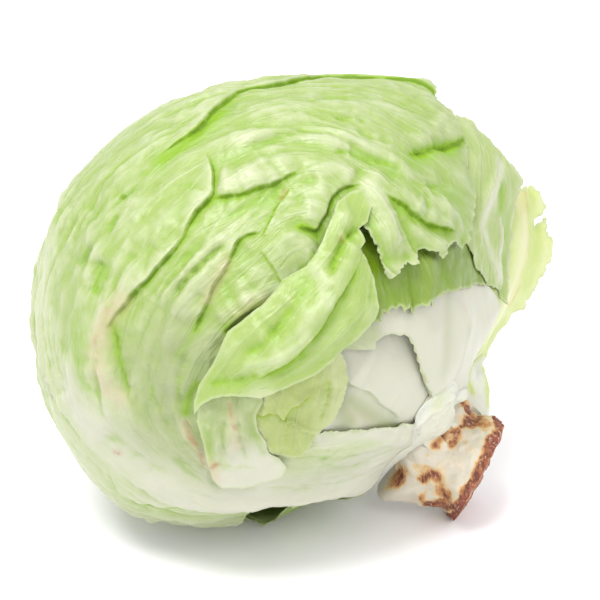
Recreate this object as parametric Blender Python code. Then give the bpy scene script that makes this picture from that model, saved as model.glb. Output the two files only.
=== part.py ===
"""One head of iceberg lettuce, lying on its side with its cut stem to the right."""

import math

import bpy
import numpy as np
from mathutils import Vector, geometry
from mathutils.bvhtree import BVHTree

# Sizes, in millimetres and degrees. The head stands on z = 0.
MM = 0.001
HEAD_ALONG_STEM = 149.0
HEAD_ACROSS = 167.0
HEAD_CENTRE_HEIGHT = 83.0
STEM_DIP = 40.0
STEM_CUT_DISTANCE = 102.6
STEM_CUT_SLANT = 6.0
STEM_CUT_RADIUS = 19.4
STEM_CUT_DOME = 1.8
STEM_WAIST_RADIUS = 16.4
STEM_WAIST_DISTANCE = 86.0
STEM_END_DISTANCE = 53.0
STEM_NECK_ANGLE = 10.8
STEM_LEAST_HEIGHT = 0.8
LEAF_BASE_ANGLE = 12.6
BLADE_THICKNESS = 1.3
STEEPEST_BLADE = 0.42
LAP_STEP = 1.1
LINE_ENDS = 0.2
BEYOND_HEAD = 400.0
ROUNDING = 0.03
HEART_DEPTH = 9.0
PIT_BOTTOM = 51.0
PIT_EDGE = (7, 13, 16.5)
LEAF_GAP = 0.45
REST_ROOM = 2.0
REST_SOFTNESS = 1.5
REST_FLAT_RADIUS = 15.0
MEAN_RADIUS = 83.0

# The photograph is 600 x 600 points. A point of it is laid on the head with these.
VIEW_AZIMUTH = 12.0
VIEW_HEIGHT = 26.0
VIEW_DISTANCE = 900.0
MM_PER_POINT = 0.36
MIDDLE_OF_VIEW = 300.0
HEAD_CENTRE_IN_VIEW = (264.0, 293.0)

LEAF_GREEN = (0.62, 0.80, 0.36, 1.0)
PALE_GREEN = (0.74, 0.84, 0.55, 1.0)
RIB_WHITE = (0.86, 0.86, 0.76, 1.0)
DARK_GREEN = (0.42, 0.64, 0.20, 1.0)
STEM_WHITE = (0.84, 0.74, 0.60, 1.0)


def unit(v):
    v = np.asarray(v, float)
    return v / np.linalg.norm(v, axis=-1, keepdims=True)


def cos_of(degrees):
    return math.cos(math.radians(degrees))


def sin_of(degrees):
    return math.sin(math.radians(degrees))


# The head's own directions: along the stem, towards the viewer, and up across the stem.
AXIS = np.array([cos_of(STEM_DIP), 0.0, -sin_of(STEM_DIP)])
FRONT = np.array([0.0, -1.0, 0.0])
TOP = np.array([sin_of(STEM_DIP), 0.0, cos_of(STEM_DIP)])
HEAD_FRAME = np.stack([AXIS, FRONT, TOP])
CENTRE = np.array([0.0, 0.0, HEAD_CENTRE_HEIGHT])
NEVER_A_MIDDLE = np.array([0.3, 0.2, 0.93])
HALF_SIZES = np.array([HEAD_ALONG_STEM, HEAD_ACROSS, HEAD_ACROSS]) / 2

# The viewer's directions, and the place of the eye.
LEVEL_BACK = np.array([sin_of(VIEW_AZIMUTH), -cos_of(VIEW_AZIMUTH), 0.0])
BACK = LEVEL_BACK * cos_of(VIEW_HEIGHT) + np.array([0.0, 0.0, sin_of(VIEW_HEIGHT)])
RIGHT = np.array([cos_of(VIEW_AZIMUTH), sin_of(VIEW_AZIMUTH), 0.0])
UP = np.cross(BACK, RIGHT)
AIM_RIGHT = (MIDDLE_OF_VIEW - HEAD_CENTRE_IN_VIEW[0]) * MM_PER_POINT
AIM_UP = (HEAD_CENTRE_IN_VIEW[1] - MIDDLE_OF_VIEW) * MM_PER_POINT
EYE = CENTRE + RIGHT * AIM_RIGHT + UP * AIM_UP + BACK * VIEW_DISTANCE


def side_of(beta, lam):
    """A direction from the head's centre: beta from the stem, lam round it from the front."""
    across = FRONT * cos_of(lam) + TOP * sin_of(lam)
    return AXIS * cos_of(beta) + across * sin_of(beta)


# Broad swellings of the head: where, how wide in degrees and how high.
SWELLINGS = (
    (side_of(140, -60), 38, 2.5),
    (side_of(92, -52), 22, 3.0),
    (side_of(132, 112), 26, -5.5),
    (side_of(86, 110), 16, 8.0),
    (side_of(47, -42), 14, -3.0),
)


def base_radius(d):
    """The head's size in each direction, before any leaf."""
    d = np.asarray(d)
    r = 1 / np.sqrt((((d @ HEAD_FRAME.T) / HALF_SIZES) ** 2).sum(-1))
    for where, width, height in SWELLINGS:
        angle = np.degrees(np.arccos(np.clip(d @ where, -1, 1)))
        r = r + height * np.exp(-((angle / width) ** 2))
    rest = (HEAD_CENTRE_HEIGHT - REST_ROOM) / np.maximum(-d[..., 2], 0.05)
    least = np.minimum(r, rest)
    other = np.maximum(r, rest)
    return least - REST_SOFTNESS * np.log1p(np.exp((least - other) / REST_SOFTNESS))


def sight_line(x, y):
    """The sight line through a point of the photograph: its direction, and where it passes nearest."""
    ahead = -BACK * VIEW_DISTANCE / MM_PER_POINT
    ahead = unit(ahead + RIGHT * (x - MIDDLE_OF_VIEW) - UP * (y - MIDDLE_OF_VIEW))
    start = EYE - CENTRE
    return ahead, start - (start @ ahead) * ahead


def seen(x, y, lift=0.0):
    """Direction and lift of a point of the photograph that lies on the head, or at its limb."""
    ahead, nearest = sight_line(x, y)
    p = nearest - np.linspace(0, 140, 281)[:, None] * ahead
    size = np.linalg.norm(p, axis=1)
    outside = size - base_radius(p / size[:, None]) - lift
    hit = int(np.argmax(outside > 0))
    if hit == 0:
        return np.append(unit(p[0]), outside[0] + lift)
    share = outside[hit] / (outside[hit] - outside[hit - 1])
    return np.append(unit(p[hit] + share * (p[hit - 1] - p[hit])), lift)


def past(x, y, back):
    """The same for a point beyond the limb, the given degrees further back than the limb is."""
    ahead, nearest = sight_line(x, y)
    p = nearest + ahead * np.linalg.norm(nearest) * math.tan(math.radians(back))
    return np.append(unit(p), np.linalg.norm(p) - base_radius(unit(p)))


def standing(x, y, height):
    """The same for a point that is seen the given height above the ground."""
    ahead, nearest = sight_line(x, y)
    p = nearest + ahead * (height - HEAD_CENTRE_HEIGHT - nearest[2]) / ahead[2]
    return np.append(unit(p), np.linalg.norm(p) - base_radius(unit(p)))


def around(beta, lam, lift=0.0):
    """The same for a place on the side that the photograph doesn't show."""
    return np.append(side_of(beta, lam), lift)


def stem_arc(first, last, lift=0.0):
    """The foot of a leaf: an arc round the stem."""
    count = max(2, int(abs(last - first) / 18) + 1)
    return [around(LEAF_BASE_ANGLE, lam, lift) for lam in np.linspace(first, last, count)]


class Sheet:
    """A leaf's blade laid flat: its outline, the points in it and its triangles."""

    def __init__(self, outline, spacing, lines=(), laps=(), middle=None):
        self.corners = np.array(outline)
        self.middle = unit(self.corners[:, :3].mean(axis=0)) if middle is None else middle[:3]
        self.east = unit(np.cross(self.middle, NEVER_A_MIDDLE))
        self.north = np.cross(self.middle, self.east)
        rim = self.densified(self.corners, spacing)
        if area_of(rim) < 0:
            rim = rim[::-1]
        inner = self.inner_points(rim, spacing, lines, laps)
        given = [Vector(p) for p in np.vstack([rim, inner])]
        found = geometry.delaunay_2d_cdt(given, [], [list(range(len(rim)))], 1, 1e-5, False)
        flat, faces = np.array([tuple(p) for p in found[0]]), np.array(found[2])
        faces = faces[inside(flat[faces].mean(axis=1), rim)]
        used, renumbered = np.unique(faces, return_inverse=True)
        self.faces = renumbered.reshape(-1, 3)
        self.directions = self.raised(flat[used])

    def laid(self, d):
        """Directions to flat points: distances from the middle are kept."""
        angle = np.arccos(np.clip(d @ self.middle, -1, 1))
        east, north = d @ self.east, d @ self.north
        scale = MEAN_RADIUS * angle / np.maximum(np.hypot(east, north), 1e-9)
        return np.stack([east * scale, north * scale], axis=1)

    def raised(self, flat):
        size = np.maximum(np.linalg.norm(flat, axis=1), 1e-9)
        angle = size / MEAN_RADIUS
        out = np.sin(angle)[:, None] * (
            flat[:, :1] / size[:, None] * self.east + flat[:, 1:] / size[:, None] * self.north
        )
        return unit(out + np.cos(angle)[:, None] * self.middle)

    def densified(self, corners, spacing):
        flat = self.laid(corners[:, :3])
        points = []
        for here, there in zip(flat, np.roll(flat, -1, axis=0)):
            count = max(1, math.ceil(np.linalg.norm(there - here) / (1.25 * spacing)))
            points += [here + (there - here) * k / count for k in range(count)]
        return np.array(points)

    def beside(self, line, spacing):
        """Two rows of points, one on each side of the edge of a lap."""
        row = self.densified(line, spacing)[: -1 if len(line) > 2 else None]
        along = unit(np.gradient(row, axis=0))
        out = np.column_stack([along[:, 1], -along[:, 0]])
        return np.vstack([row + out * LAP_STEP, row - out * LAP_STEP])

    def inner_points(self, rim, spacing, lines, laps):
        """Points along the folds, then a field of them between."""
        kept = []
        for line in laps:
            for p in self.beside(line, spacing):
                if inside(p[None], rim)[0] and self.clear(p, rim, kept, 1.4 * LAP_STEP):
                    kept.append(p)
        for line in lines:
            for p in self.densified(line, spacing)[: -1 if len(line) > 2 else None]:
                if inside(p[None], rim)[0] and self.clear(p, rim, kept, 0.45 * spacing):
                    kept.append(p)
        low, high = rim.min(axis=0), rim.max(axis=0)
        row_height = spacing * sin_of(60)
        field = [
            (low[0] + (column + 0.5 * (row % 2)) * spacing, low[1] + row * row_height)
            for row in range(int((high[1] - low[1]) / row_height) + 1)
            for column in range(int((high[0] - low[0]) / spacing) + 1)
        ]
        field = np.array(field)
        for p in field[inside(field, rim)]:
            if self.clear(p, rim, kept, 0.6 * spacing):
                kept.append(p)
        return np.array(kept)

    def clear(self, p, rim, kept, room):
        if distance_to_rim(p[None], rim)[0] < room:
            return False
        return not kept or np.linalg.norm(np.array(kept) - p, axis=1).min() > room


def area_of(rim):
    after = np.roll(rim, -1, axis=0)
    return 0.5 * (rim[:, 0] * after[:, 1] - after[:, 0] * rim[:, 1]).sum()


def inside(points, rim):
    """Which flat points lie inside the outline."""
    x, y = points[:, 0, None], points[:, 1, None]
    after = np.roll(rim, -1, axis=0)
    crossing = (rim[:, 1] > y) != (after[:, 1] > y)
    rise = after[:, 1] - rim[:, 1]
    rise = np.where(np.abs(rise) < 1e-12, 1e-12, rise)
    reach = rim[:, 0] + (y - rim[:, 1]) / rise * (after[:, 0] - rim[:, 0])
    return (crossing & (x < reach)).sum(axis=1) % 2 == 1


def distance_to_rim(points, rim):
    after = np.roll(rim, -1, axis=0)
    along = after - rim
    offset = points[:, None] - rim
    share = (offset * along).sum(-1) / np.maximum((along**2).sum(-1), 1e-12)
    return np.linalg.norm(offset - np.clip(share, 0, 1)[..., None] * along, axis=-1).min(axis=1)


def spread(corners, d):
    """The lifts given at some directions, spread smoothly over the others."""
    place, lift = corners[:, :3], corners[:, 3]
    between = np.linalg.norm(place[:, None] - place, axis=-1) - ROUNDING * np.eye(len(place))
    weights = np.linalg.solve(between, lift - lift.mean())
    return lift.mean() + np.linalg.norm(d[:, None] - place, axis=-1) @ weights


def smooth(share):
    share = np.clip(share, 0, 1)
    return share * share * (3 - 2 * share)


def along_line(d, line):
    """Distance from a drawn line, how far along it, and which side: positive is left of its run."""
    points = np.array(line)[:, :3]
    start, step = points[:-1], np.diff(points, axis=0)
    length = np.linalg.norm(step, axis=1)
    offset = d[:, None] - start
    share = np.clip((offset * step).sum(-1) / length**2, 0, 1)
    gap = np.linalg.norm(offset - share[..., None] * step, axis=-1)
    nearest = gap.argmin(axis=1)
    rows = np.arange(len(d))
    before = np.concatenate([[0], np.cumsum(length)])
    travel = (before[nearest] + share[rows, nearest] * length[nearest]) / before[-1]
    side = np.sign((np.cross(start, start + step)[nearest] * d).sum(-1))
    return gap[rows, nearest] * MEAN_RADIUS, travel, side


def crease(d, line, width, height):
    """A ridge along a drawn line, or a valley where the height is negative."""
    gap, travel, _ = along_line(d, line)
    ends = smooth(travel / LINE_ENDS) * smooth((1 - travel) / LINE_ENDS)
    return height * np.exp(-((gap / width) ** 2)) * ends


def lap(d, line, width, height):
    """One fold lapping over another: high on the left of the line's run, and a drop on its right."""
    gap, travel, side = along_line(d, line)
    ends = smooth(travel / LINE_ENDS) * smooth((1 - travel) / LINE_ENDS)
    high = 0.36 * np.exp(-((gap / (2.6 * width)) ** 1.3))
    low = -0.66 * np.exp(-gap / (0.85 * width))
    return height * np.where(side > 0, high, low) * ends


def steepness(directions, faces, radius):
    """The cosine between each point's direction and the steepest blade beside it."""
    points = directions * radius[:, None]
    a, b, c = (points[faces[:, k]] for k in range(3))
    normals = np.cross(b - a, c - a)
    normals /= np.maximum(np.linalg.norm(normals, axis=1, keepdims=True), 1e-9)
    cosine = np.ones(len(directions))
    for k in range(3):
        np.minimum.at(cosine, faces[:, k], np.abs((normals * directions[faces[:, k]]).sum(-1)))
    return cosine


SAMPLES = np.array([(i, j, 6 - i - j) for i in range(7) for j in range(7 - i)]) / 6


class Pile:
    """The leaves already laid on the head, from the inside out."""

    def __init__(self):
        self.points = []
        self.faces = []
        self.tree = None

    def add(self, points, faces):
        start = len(self.points)
        self.points += [Vector(p) for p in points]
        self.faces += [tuple(int(i) + start for i in face) for face in faces]
        self.tree = BVHTree.FromPolygons(self.points, self.faces)

    def top(self, d):
        """The outermost surface in a direction, from the head's centre."""
        hit = self.tree.ray_cast(Vector(d * BEYOND_HEAD), Vector(-d), BEYOND_HEAD)[0]
        return hit.length if hit is not None else 0.0

    def lift_over(self, directions, faces, radius):
        """The inner face of a new leaf, raised until it clears everything below it."""
        radius = radius.copy()
        for share in np.vstack([SAMPLES, SAMPLES]):
            points = np.einsum("k,nkj->nj", share, (directions * radius[:, None])[faces])
            size = np.linalg.norm(points, axis=1)
            tops = np.array([self.top(p / s) for p, s in zip(points, size)])
            need = np.maximum(tops + LEAF_GAP - size, 0)
            raised = np.zeros(len(radius))
            for corner in np.nonzero(share)[0]:
                np.maximum.at(raised, faces[:, corner], need)
            radius += raised
        return radius


def add_object(name, points, faces, colour, roughness):
    mesh = bpy.data.meshes.new(name)
    mesh.from_pydata([tuple(p * MM) for p in points], [], [tuple(map(int, f)) for f in faces])
    mesh.update()
    material = bpy.data.materials.new(name)
    material.use_nodes = True
    shader = material.node_tree.nodes["Principled BSDF"]
    shader.inputs["Base Color"].default_value = colour
    shader.inputs["Roughness"].default_value = roughness
    mesh.materials.append(material)
    made = bpy.data.objects.new(name, mesh)
    bpy.context.scene.collection.objects.link(made)
    return made


def outer_loop(faces):
    """The directed edges of a sheet that only one triangle has."""
    edges = {}
    for face in faces:
        for a, b in zip(face, np.roll(face, -1)):
            edges[(int(a), int(b))] = True
    return [(a, b) for a, b in edges if (b, a) not in edges]


def flat_to_rest(d, outer):
    """The underside of the leaf that the head rests on, made level where it touches the ground."""
    reach = HEAD_CENTRE_HEIGHT / np.maximum(-d[:, 2], 0.05)
    across = np.hypot(d[:, 0], d[:, 1]) * reach
    return np.where(across < REST_FLAT_RADIUS, reach, np.minimum(outer, reach - 0.1))


def leaf(
    name, pile, outline, spacing, folds=(), ribs=(), places=(), colour=LEAF_GREEN, middle=None, rests=False
):
    """A blade laid over the pile: folds raise both its faces, ribs thicken it."""
    lines = [line for shape, line, _, _ in folds if shape is crease] + [rib[0] for rib in ribs]
    laps = [line for shape, line, _, _ in folds if shape is lap]
    sheet = Sheet(outline, spacing, lines, laps, middle)
    d, faces = sheet.directions, sheet.faces
    across = np.cross(d[faces[:, 1]] - d[faces[:, 0]], d[faces[:, 2]] - d[faces[:, 0]])
    if (across * d[faces[:, 0]]).sum() < 0:
        faces = faces[:, ::-1]
    known = np.vstack([sheet.corners, np.array(places)]) if len(places) else sheet.corners
    outer = base_radius(d) + spread(known, d)
    for shape, line, width, height in folds:
        outer += shape(d, line, width, height)
    extra = sum((crease(d, line, width, height) for line, width, height in ribs), np.zeros(len(d)))
    thick = BLADE_THICKNESS / np.maximum(steepness(d, faces, outer), STEEPEST_BLADE)
    inner = pile.lift_over(d, faces, outer - thick)
    outer = inner + thick + extra
    if rests:
        outer = flat_to_rest(d, outer)
    points = np.vstack([d * outer[:, None], d * inner[:, None]]) + CENTRE
    count = len(d)
    walls = []
    for a, b in outer_loop(faces):
        walls += [(b, a, a + count), (b, a + count, b + count)]
    solid = np.vstack([faces, faces[:, ::-1] + count, np.array(walls)])
    pile.add(points - CENTRE, solid)
    return add_object(name, points, solid, colour, 0.5)


def ring_solid(rings, first_point, last_point):
    """Points and faces of a closed body made of rings with a point at each end."""
    count = len(rings[0])
    points = np.vstack([first_point, np.vstack(rings), last_point])
    last = len(points) - 1
    faces = []
    for k in range(count):
        after = (k + 1) % count
        faces.append((0, 1 + after, 1 + k))
        faces.append((last, last - count + k, last - count + after))
        for ring in range(len(rings) - 1):
            a, b = 1 + ring * count + k, 1 + ring * count + after
            faces += [(a, b, b + count), (a, b + count, a + count)]
    return points, np.array(faces)


def facing_out(points, faces):
    corners = points[faces]
    volume = np.einsum("nj,nj->n", corners[:, 0], np.cross(corners[:, 1], corners[:, 2])).sum()
    return faces if volume > 0 else faces[:, ::-1]


def heart(pile):
    """The dense head that the leaves lie on, with a pit for the end of the stem."""
    rings = []
    for beta in [*PIT_EDGE, *range(24, 145, 10), 155, 167]:
        d = np.array([side_of(beta, lam) for lam in range(0, 360, 12)])
        waves = 0.8 * np.sin(np.radians(5 * np.arange(0, 360, 12) + 3 * beta))
        size = base_radius(d) - HEART_DEPTH + waves
        if beta in PIT_EDGE[:2]:
            size = np.full(len(d), PIT_BOTTOM)
        rings.append(d * size[:, None])
    crown = -AXIS * (base_radius(-AXIS) - HEART_DEPTH)
    points, faces = ring_solid(rings, AXIS * PIT_BOTTOM, crown)
    faces = facing_out(points, faces)
    pile.add(points, faces)
    return add_object("heart", points + CENTRE, faces, PALE_GREEN, 0.5)


# The stub of a torn leaf, the bulge beside it and old scars:
# lam, distance, width in degrees, length, height, lean along the stem.
STUBS = (
    (-80, 86.0, 34, 6.4, 13.0, -6.5),
    (-72, 94.0, 30, 6.0, 3.0, 0.0),
    (30, 90.0, 20, 5.0, 1.4, 0.0),
    (110, 88.0, 24, 5.0, 2.0, 0.0),
    (-150, 88.0, 26, 5.0, 2.2, 0.0),
)
# Where the cut is wider or narrower than a circle: lam, width in degrees, how much.
CUT_BULGES = ((70, 45, 3.0), (-50, 45, -3.4))


def turn_from(lam, other):
    return (lam - other + 180) % 360 - 180


def stem_point(lam, share):
    """A point of the stem's side: share runs from its end inside the head to the cut."""
    cut_far = STEM_CUT_DISTANCE - STEM_CUT_SLANT * sin_of(lam)
    cut_size = STEM_CUT_RADIUS + sum(
        more * math.exp(-((turn_from(lam, at) / width) ** 2)) for at, width, more in CUT_BULGES
    )
    far = STEM_END_DISTANCE + (cut_far - STEM_END_DISTANCE) * share
    size = min(far * math.tan(math.radians(STEM_NECK_ANGLE)), STEM_WAIST_RADIUS)
    flare = smooth((far - STEM_WAIST_DISTANCE) / (cut_far - STEM_WAIST_DISTANCE))
    size += (cut_size - STEM_WAIST_RADIUS) * flare
    for at, distance, width, length, height, lean in STUBS:
        place = (turn_from(lam, at) / width) ** 2 + ((far - distance) / length) ** 2
        size, far = size + height * math.exp(-(place**1.4)), far + lean * math.exp(-(place**1.4))
    across = FRONT * cos_of(lam) + TOP * sin_of(lam)
    point = AXIS * far + across * size
    point[2] = max(point[2], STEM_LEAST_HEIGHT - HEAD_CENTRE_HEIGHT)
    return point


def stem(pile):
    """The cut stem: a cone inside the head, a neck with a stub and scars, and a slanted cut."""
    shares = (0.0, 0.3, 0.46, 0.54, 0.6, 0.66, 0.72, 0.78, 0.84, 0.9, 0.95, 1.0)
    rings = [np.array([stem_point(lam, share) for lam in range(0, 360, 12)]) for share in shares]
    cut = rings[-1].mean(axis=0) + AXIS * STEM_CUT_DOME
    points, faces = ring_solid(rings, AXIS * STEM_END_DISTANCE, cut)
    faces = facing_out(points, faces)
    return add_object("stem", points + CENTRE, faces, STEM_WHITE, 0.6)


def lower_back_leaf(pile):
    """The leaf that wraps the far side from the ground up, out of sight."""
    outline = stem_arc(-165, -70, -2.5) + [
        around(24, -50, -3.5), around(40, -32, -4.0), around(58, -24, -4.0), around(74, -30, -4.0),
        around(90, -44, -3.5), around(106, -56, -3.0), around(122, -66, -2.5), around(138, -80, -2.0),
        around(150, -98, -1.5), around(160, -124, -0.5), around(164, -156, -0.5), around(160, 172, -0.5),
        around(146, 160, -0.5), around(128, 158, -0.5), around(104, 164, -1.0), around(78, 172, -1.5),
        around(55, 180, -2.0), around(32, -172, -2.0),
    ]
    places = [around(beta, -128, -1.0) for beta in (30, 60, 90, 118)]
    ribs = [(np.array([around(14, -126), around(60, -128), around(105, -130)]), 7.0, 2.0)]
    return leaf("lower_back_leaf", pile, outline, 10.5, ribs=ribs, places=places)


def upper_back_leaf(pile):
    """The leaf over the far side and the top, out of sight but for its rim."""
    outline = stem_arc(112, 196, -1.0) + [
        around(35, -158, -1.0), around(58, -154, -0.5), around(80, -156, 0.5), around(97, -160, 2.0),
        around(107, -170, 0.5), around(122, -176, 2.0), around(130, 174, 0.5), around(143, 166, 2.0),
        around(146, 150, 0.0), around(150, 132, -0.5), around(136, 112, -1.0), around(112, 104, -1.5),
        around(88, 96, -2.0), around(66, 94, -2.0), around(40, 98, -1.5),
    ]
    places = [around(beta, 152, 0.0) for beta in (30, 60, 90, 115)]
    ribs = [(np.array([around(14, 152), around(60, 154), around(110, 150)]), 7.0, 2.4)]
    folds = [
        (lap, np.array([around(45, 178), around(75, 176), around(105, 166)]), 16.0, 2.5),
        (crease, np.array([around(50, 130), around(85, 128), around(115, 138)]), 9.0, 2.2),
    ]
    return leaf("upper_back_leaf", pile, outline, 10.0, folds, ribs, places)


def under_leaf(pile):
    """The leaf that the head lies on; its rim shows under the big leaf's rib."""
    outline = stem_arc(-122, -78, -1.5) + [
        past(374, 488, 8), past(362, 496, 8), past(346, 501, 8), past(334, 499, 8),
        past(318, 496, 6), past(300, 496, 4), past(291, 505, 4), past(284, 513, 4),
        standing(272, 521, 4.0), standing(262, 531, 0.8), standing(256, 521, 3.0), past(240, 512, 8),
        past(222, 508, 8), past(196, 508, 8), around(84, -72, 1.5), around(92, -84, 0.0),
        around(94, -100, 1.5), around(86, -114, 0.0), around(80, -126, 1.5), around(62, -132, -0.5),
        around(36, -130, -1.0),
    ]
    places = [around(50, -90, 1.5), around(42, -98, 1.5), around(58, -82, 1.5), around(70, -98, 1.0)]
    return leaf("under_leaf", pile, outline, 8.5, places=places, colour=DARK_GREEN, rests=True)


def far_leaf(pile):
    """The furthest leaf on the right: a pale rib with a frilled yellow-green rim beyond it."""
    outline = stem_arc(86, 106, -1.0) + [
        past(482, 420, 20), past(490, 410, 23), past(489, 387, 22), past(486, 374, 20),
        past(482, 362, 17), past(496, 342, 18), past(509, 314, 18), past(521, 308, 21),
        past(531, 297, 23), past(538, 288, 24), past(537, 280, 24), past(546, 275, 25),
        past(543, 266, 24), past(556, 253, 26), past(549, 246, 25), past(544, 232, 24),
        past(549, 222, 25), past(538, 216, 23), past(546, 196, 25), past(532, 187, 22),
        past(519, 190, 15), past(505, 182, 9), past(495, 195, 3), past(486, 230, -4),
        past(486, 265, -5), past(490, 300, -4), seen(486, 325, -2.5), seen(476, 348, -2.0),
        seen(467, 364, -1.5), seen(469, 380, -1.0), seen(464, 396, -1.0),
    ]
    ribs = [(np.array([past(519, 198, 13), past(514, 250, 11), past(505, 300, 8), seen(474, 366)]), 6.0, 1.8)]
    return leaf("far_leaf", pile, outline, 6.5, ribs=ribs, colour=PALE_GREEN)


def side_leaf(pile):
    """The torn leaf that stands out at the right of the head."""
    outline = [
        around(90, 97, -1.5), past(458, 118, 0), past(473, 120, 1), past(490, 139, 3),
        past(505, 159, 5), past(518, 171, 7), past(525, 181, 8), past(519, 193, 7),
        past(513, 204, 6), past(516, 226, 6), past(510, 240, 5), past(511, 256, 5),
        past(505, 272, 4), past(509, 290, 4), past(508, 304, 3), past(497, 299, 0),
        seen(486, 291, 1.0), seen(477, 284, 0.0), seen(469, 268, -1.0), seen(462, 245, -1.5),
        seen(458, 215, -1.5), seen(454, 185, -2.0), seen(446, 155, -2.0),
    ]
    folds = [
        (crease, np.array([seen(478, 190, 1), seen(479, 230, 1), seen(480, 275, 1)]), 4.0, 2.2),
        (crease, np.array([past(489, 185, -2), past(490, 225, -2), past(492, 270, -2)]), 4.0, -2.0),
    ]
    return leaf("side_leaf", pile, outline, 5.6, folds)


def inner_leaf(pile):
    """The white foot of an inner leaf, seen through the opening by the stem."""
    outline = [
        seen(440, 392, -0.6), seen(450, 408, -0.3), seen(440, 426, -0.3), seen(412, 436, -1.0),
        seen(372, 440, -1.8), seen(346, 446, -2.2), seen(324, 446, -2.4), seen(308, 430, -3.0),
        seen(318, 392, -4.0), seen(322, 366, -4.0), seen(326, 346, -4.0), seen(344, 336, -4.5),
        seen(364, 330, -5.5), seen(384, 322, -5.5), seen(404, 322, -5.0), seen(417, 334, -4.0),
        seen(424, 354, -2.4), seen(432, 378, -1.2),
    ]
    places = [
        seen(360, 365, -2.0), seen(385, 385, -1.6), seen(350, 372, -2.0), seen(395, 352, -4.0),
        seen(404, 345, -4.0), seen(352, 402, -2.6), seen(370, 412, -2.2), seen(405, 400, -1.0),
        seen(424, 404, -0.6),
    ]
    folds = [
        (lap, drawn((338, 376), (348, 383), (370, 395), (385, 407), (402, 419)), 7.0, 2.6),
        (lap, drawn((412, 392), (392, 372), (377, 352), (376, 340)), 7.0, 1.8),
    ]
    return leaf("inner_leaf", pile, outline, 6.0, folds, places=places, colour=RIB_WHITE)


def rib_leaf(pile):
    """The leaf whose broad white rib runs up from the stem at the right of the opening."""
    outline = stem_arc(28, 88, 0.0) + [
        seen(468, 388, 0.0), seen(466, 373, 0.5), seen(477, 351, 1.0), seen(491, 331, 1.5),
        past(503, 307, -2), past(493, 292, -4), seen(474, 277, -1.0), seen(455, 265, -1.5),
        seen(425, 272, -2.0), seen(398, 284, -2.5), seen(370, 296, -3.0), seen(350, 315, -3.0),
        seen(340, 338, -2.0), seen(344, 350, -1.5), seen(360, 350, -1.0), seen(376, 350, -0.5),
        seen(377, 342, -0.5), seen(384, 336, -0.2), seen(392, 334, 0.0), seen(404, 334, 0.0),
        seen(411, 343, 0.0), seen(414, 351, 0.0), seen(417, 361, 0.0), seen(420, 371, 0.0),
        seen(424, 382, 0.0), seen(430, 396, 0.0),
    ]
    rib = np.array([seen(470, 300), seen(455, 340), seen(440, 380), seen(432, 402)])
    edge = np.array([seen(435, 320), seen(433, 350), seen(432, 385)])
    return leaf("rib_leaf", pile, outline, 6.5, ribs=[(rib, 9.0, 2.4), (edge, 4.0, 1.0)], colour=RIB_WHITE)


def margin_leaf(pile):
    """The darker frilled rim that shows under the big leaf's torn margin."""
    outline = [
        seen(371, 326, 1.5), seen(376, 321, 1.0), seen(380, 322, 1.5), seen(384, 312, 0.5),
        seen(388, 314, 1.0), seen(392, 307, 0.5), seen(400, 304, 0.5), seen(404, 311, 1.4),
        seen(408, 305, 0.5), seen(414, 315, 1.8), seen(418, 305, 0.6), seen(427, 300, 0.5),
        seen(432, 307, 1.2), seen(434, 296, 0.5), seen(440, 293, 0.6), seen(452, 291, 0.9),
        seen(471, 287, 0.7), seen(477, 284, 0.3), seen(486, 288, -0.5), seen(486, 262, -1.5),
        seen(476, 230, -2.0), seen(438, 222, -2.0), seen(408, 228, -2.5), seen(384, 222, -3.0),
        seen(362, 230, -2.6), seen(356, 258, -2.8), seen(360, 290, -2.5), seen(360, 318, -1.0),
    ]
    folds = [
        (crease, np.array([seen(389, 290), seen(398, 265), seen(404, 240)]), 4.0, 1.6),
        (crease, np.array([seen(418, 300), seen(428, 275), seen(432, 250)]), 4.0, 1.4),
        (crease, np.array([seen(374, 300), seen(377, 270), seen(376, 245)]), 4.0, 1.2),
    ]
    return leaf("margin_leaf", pile, outline, 5.2, folds, colour=DARK_GREEN)


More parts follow.
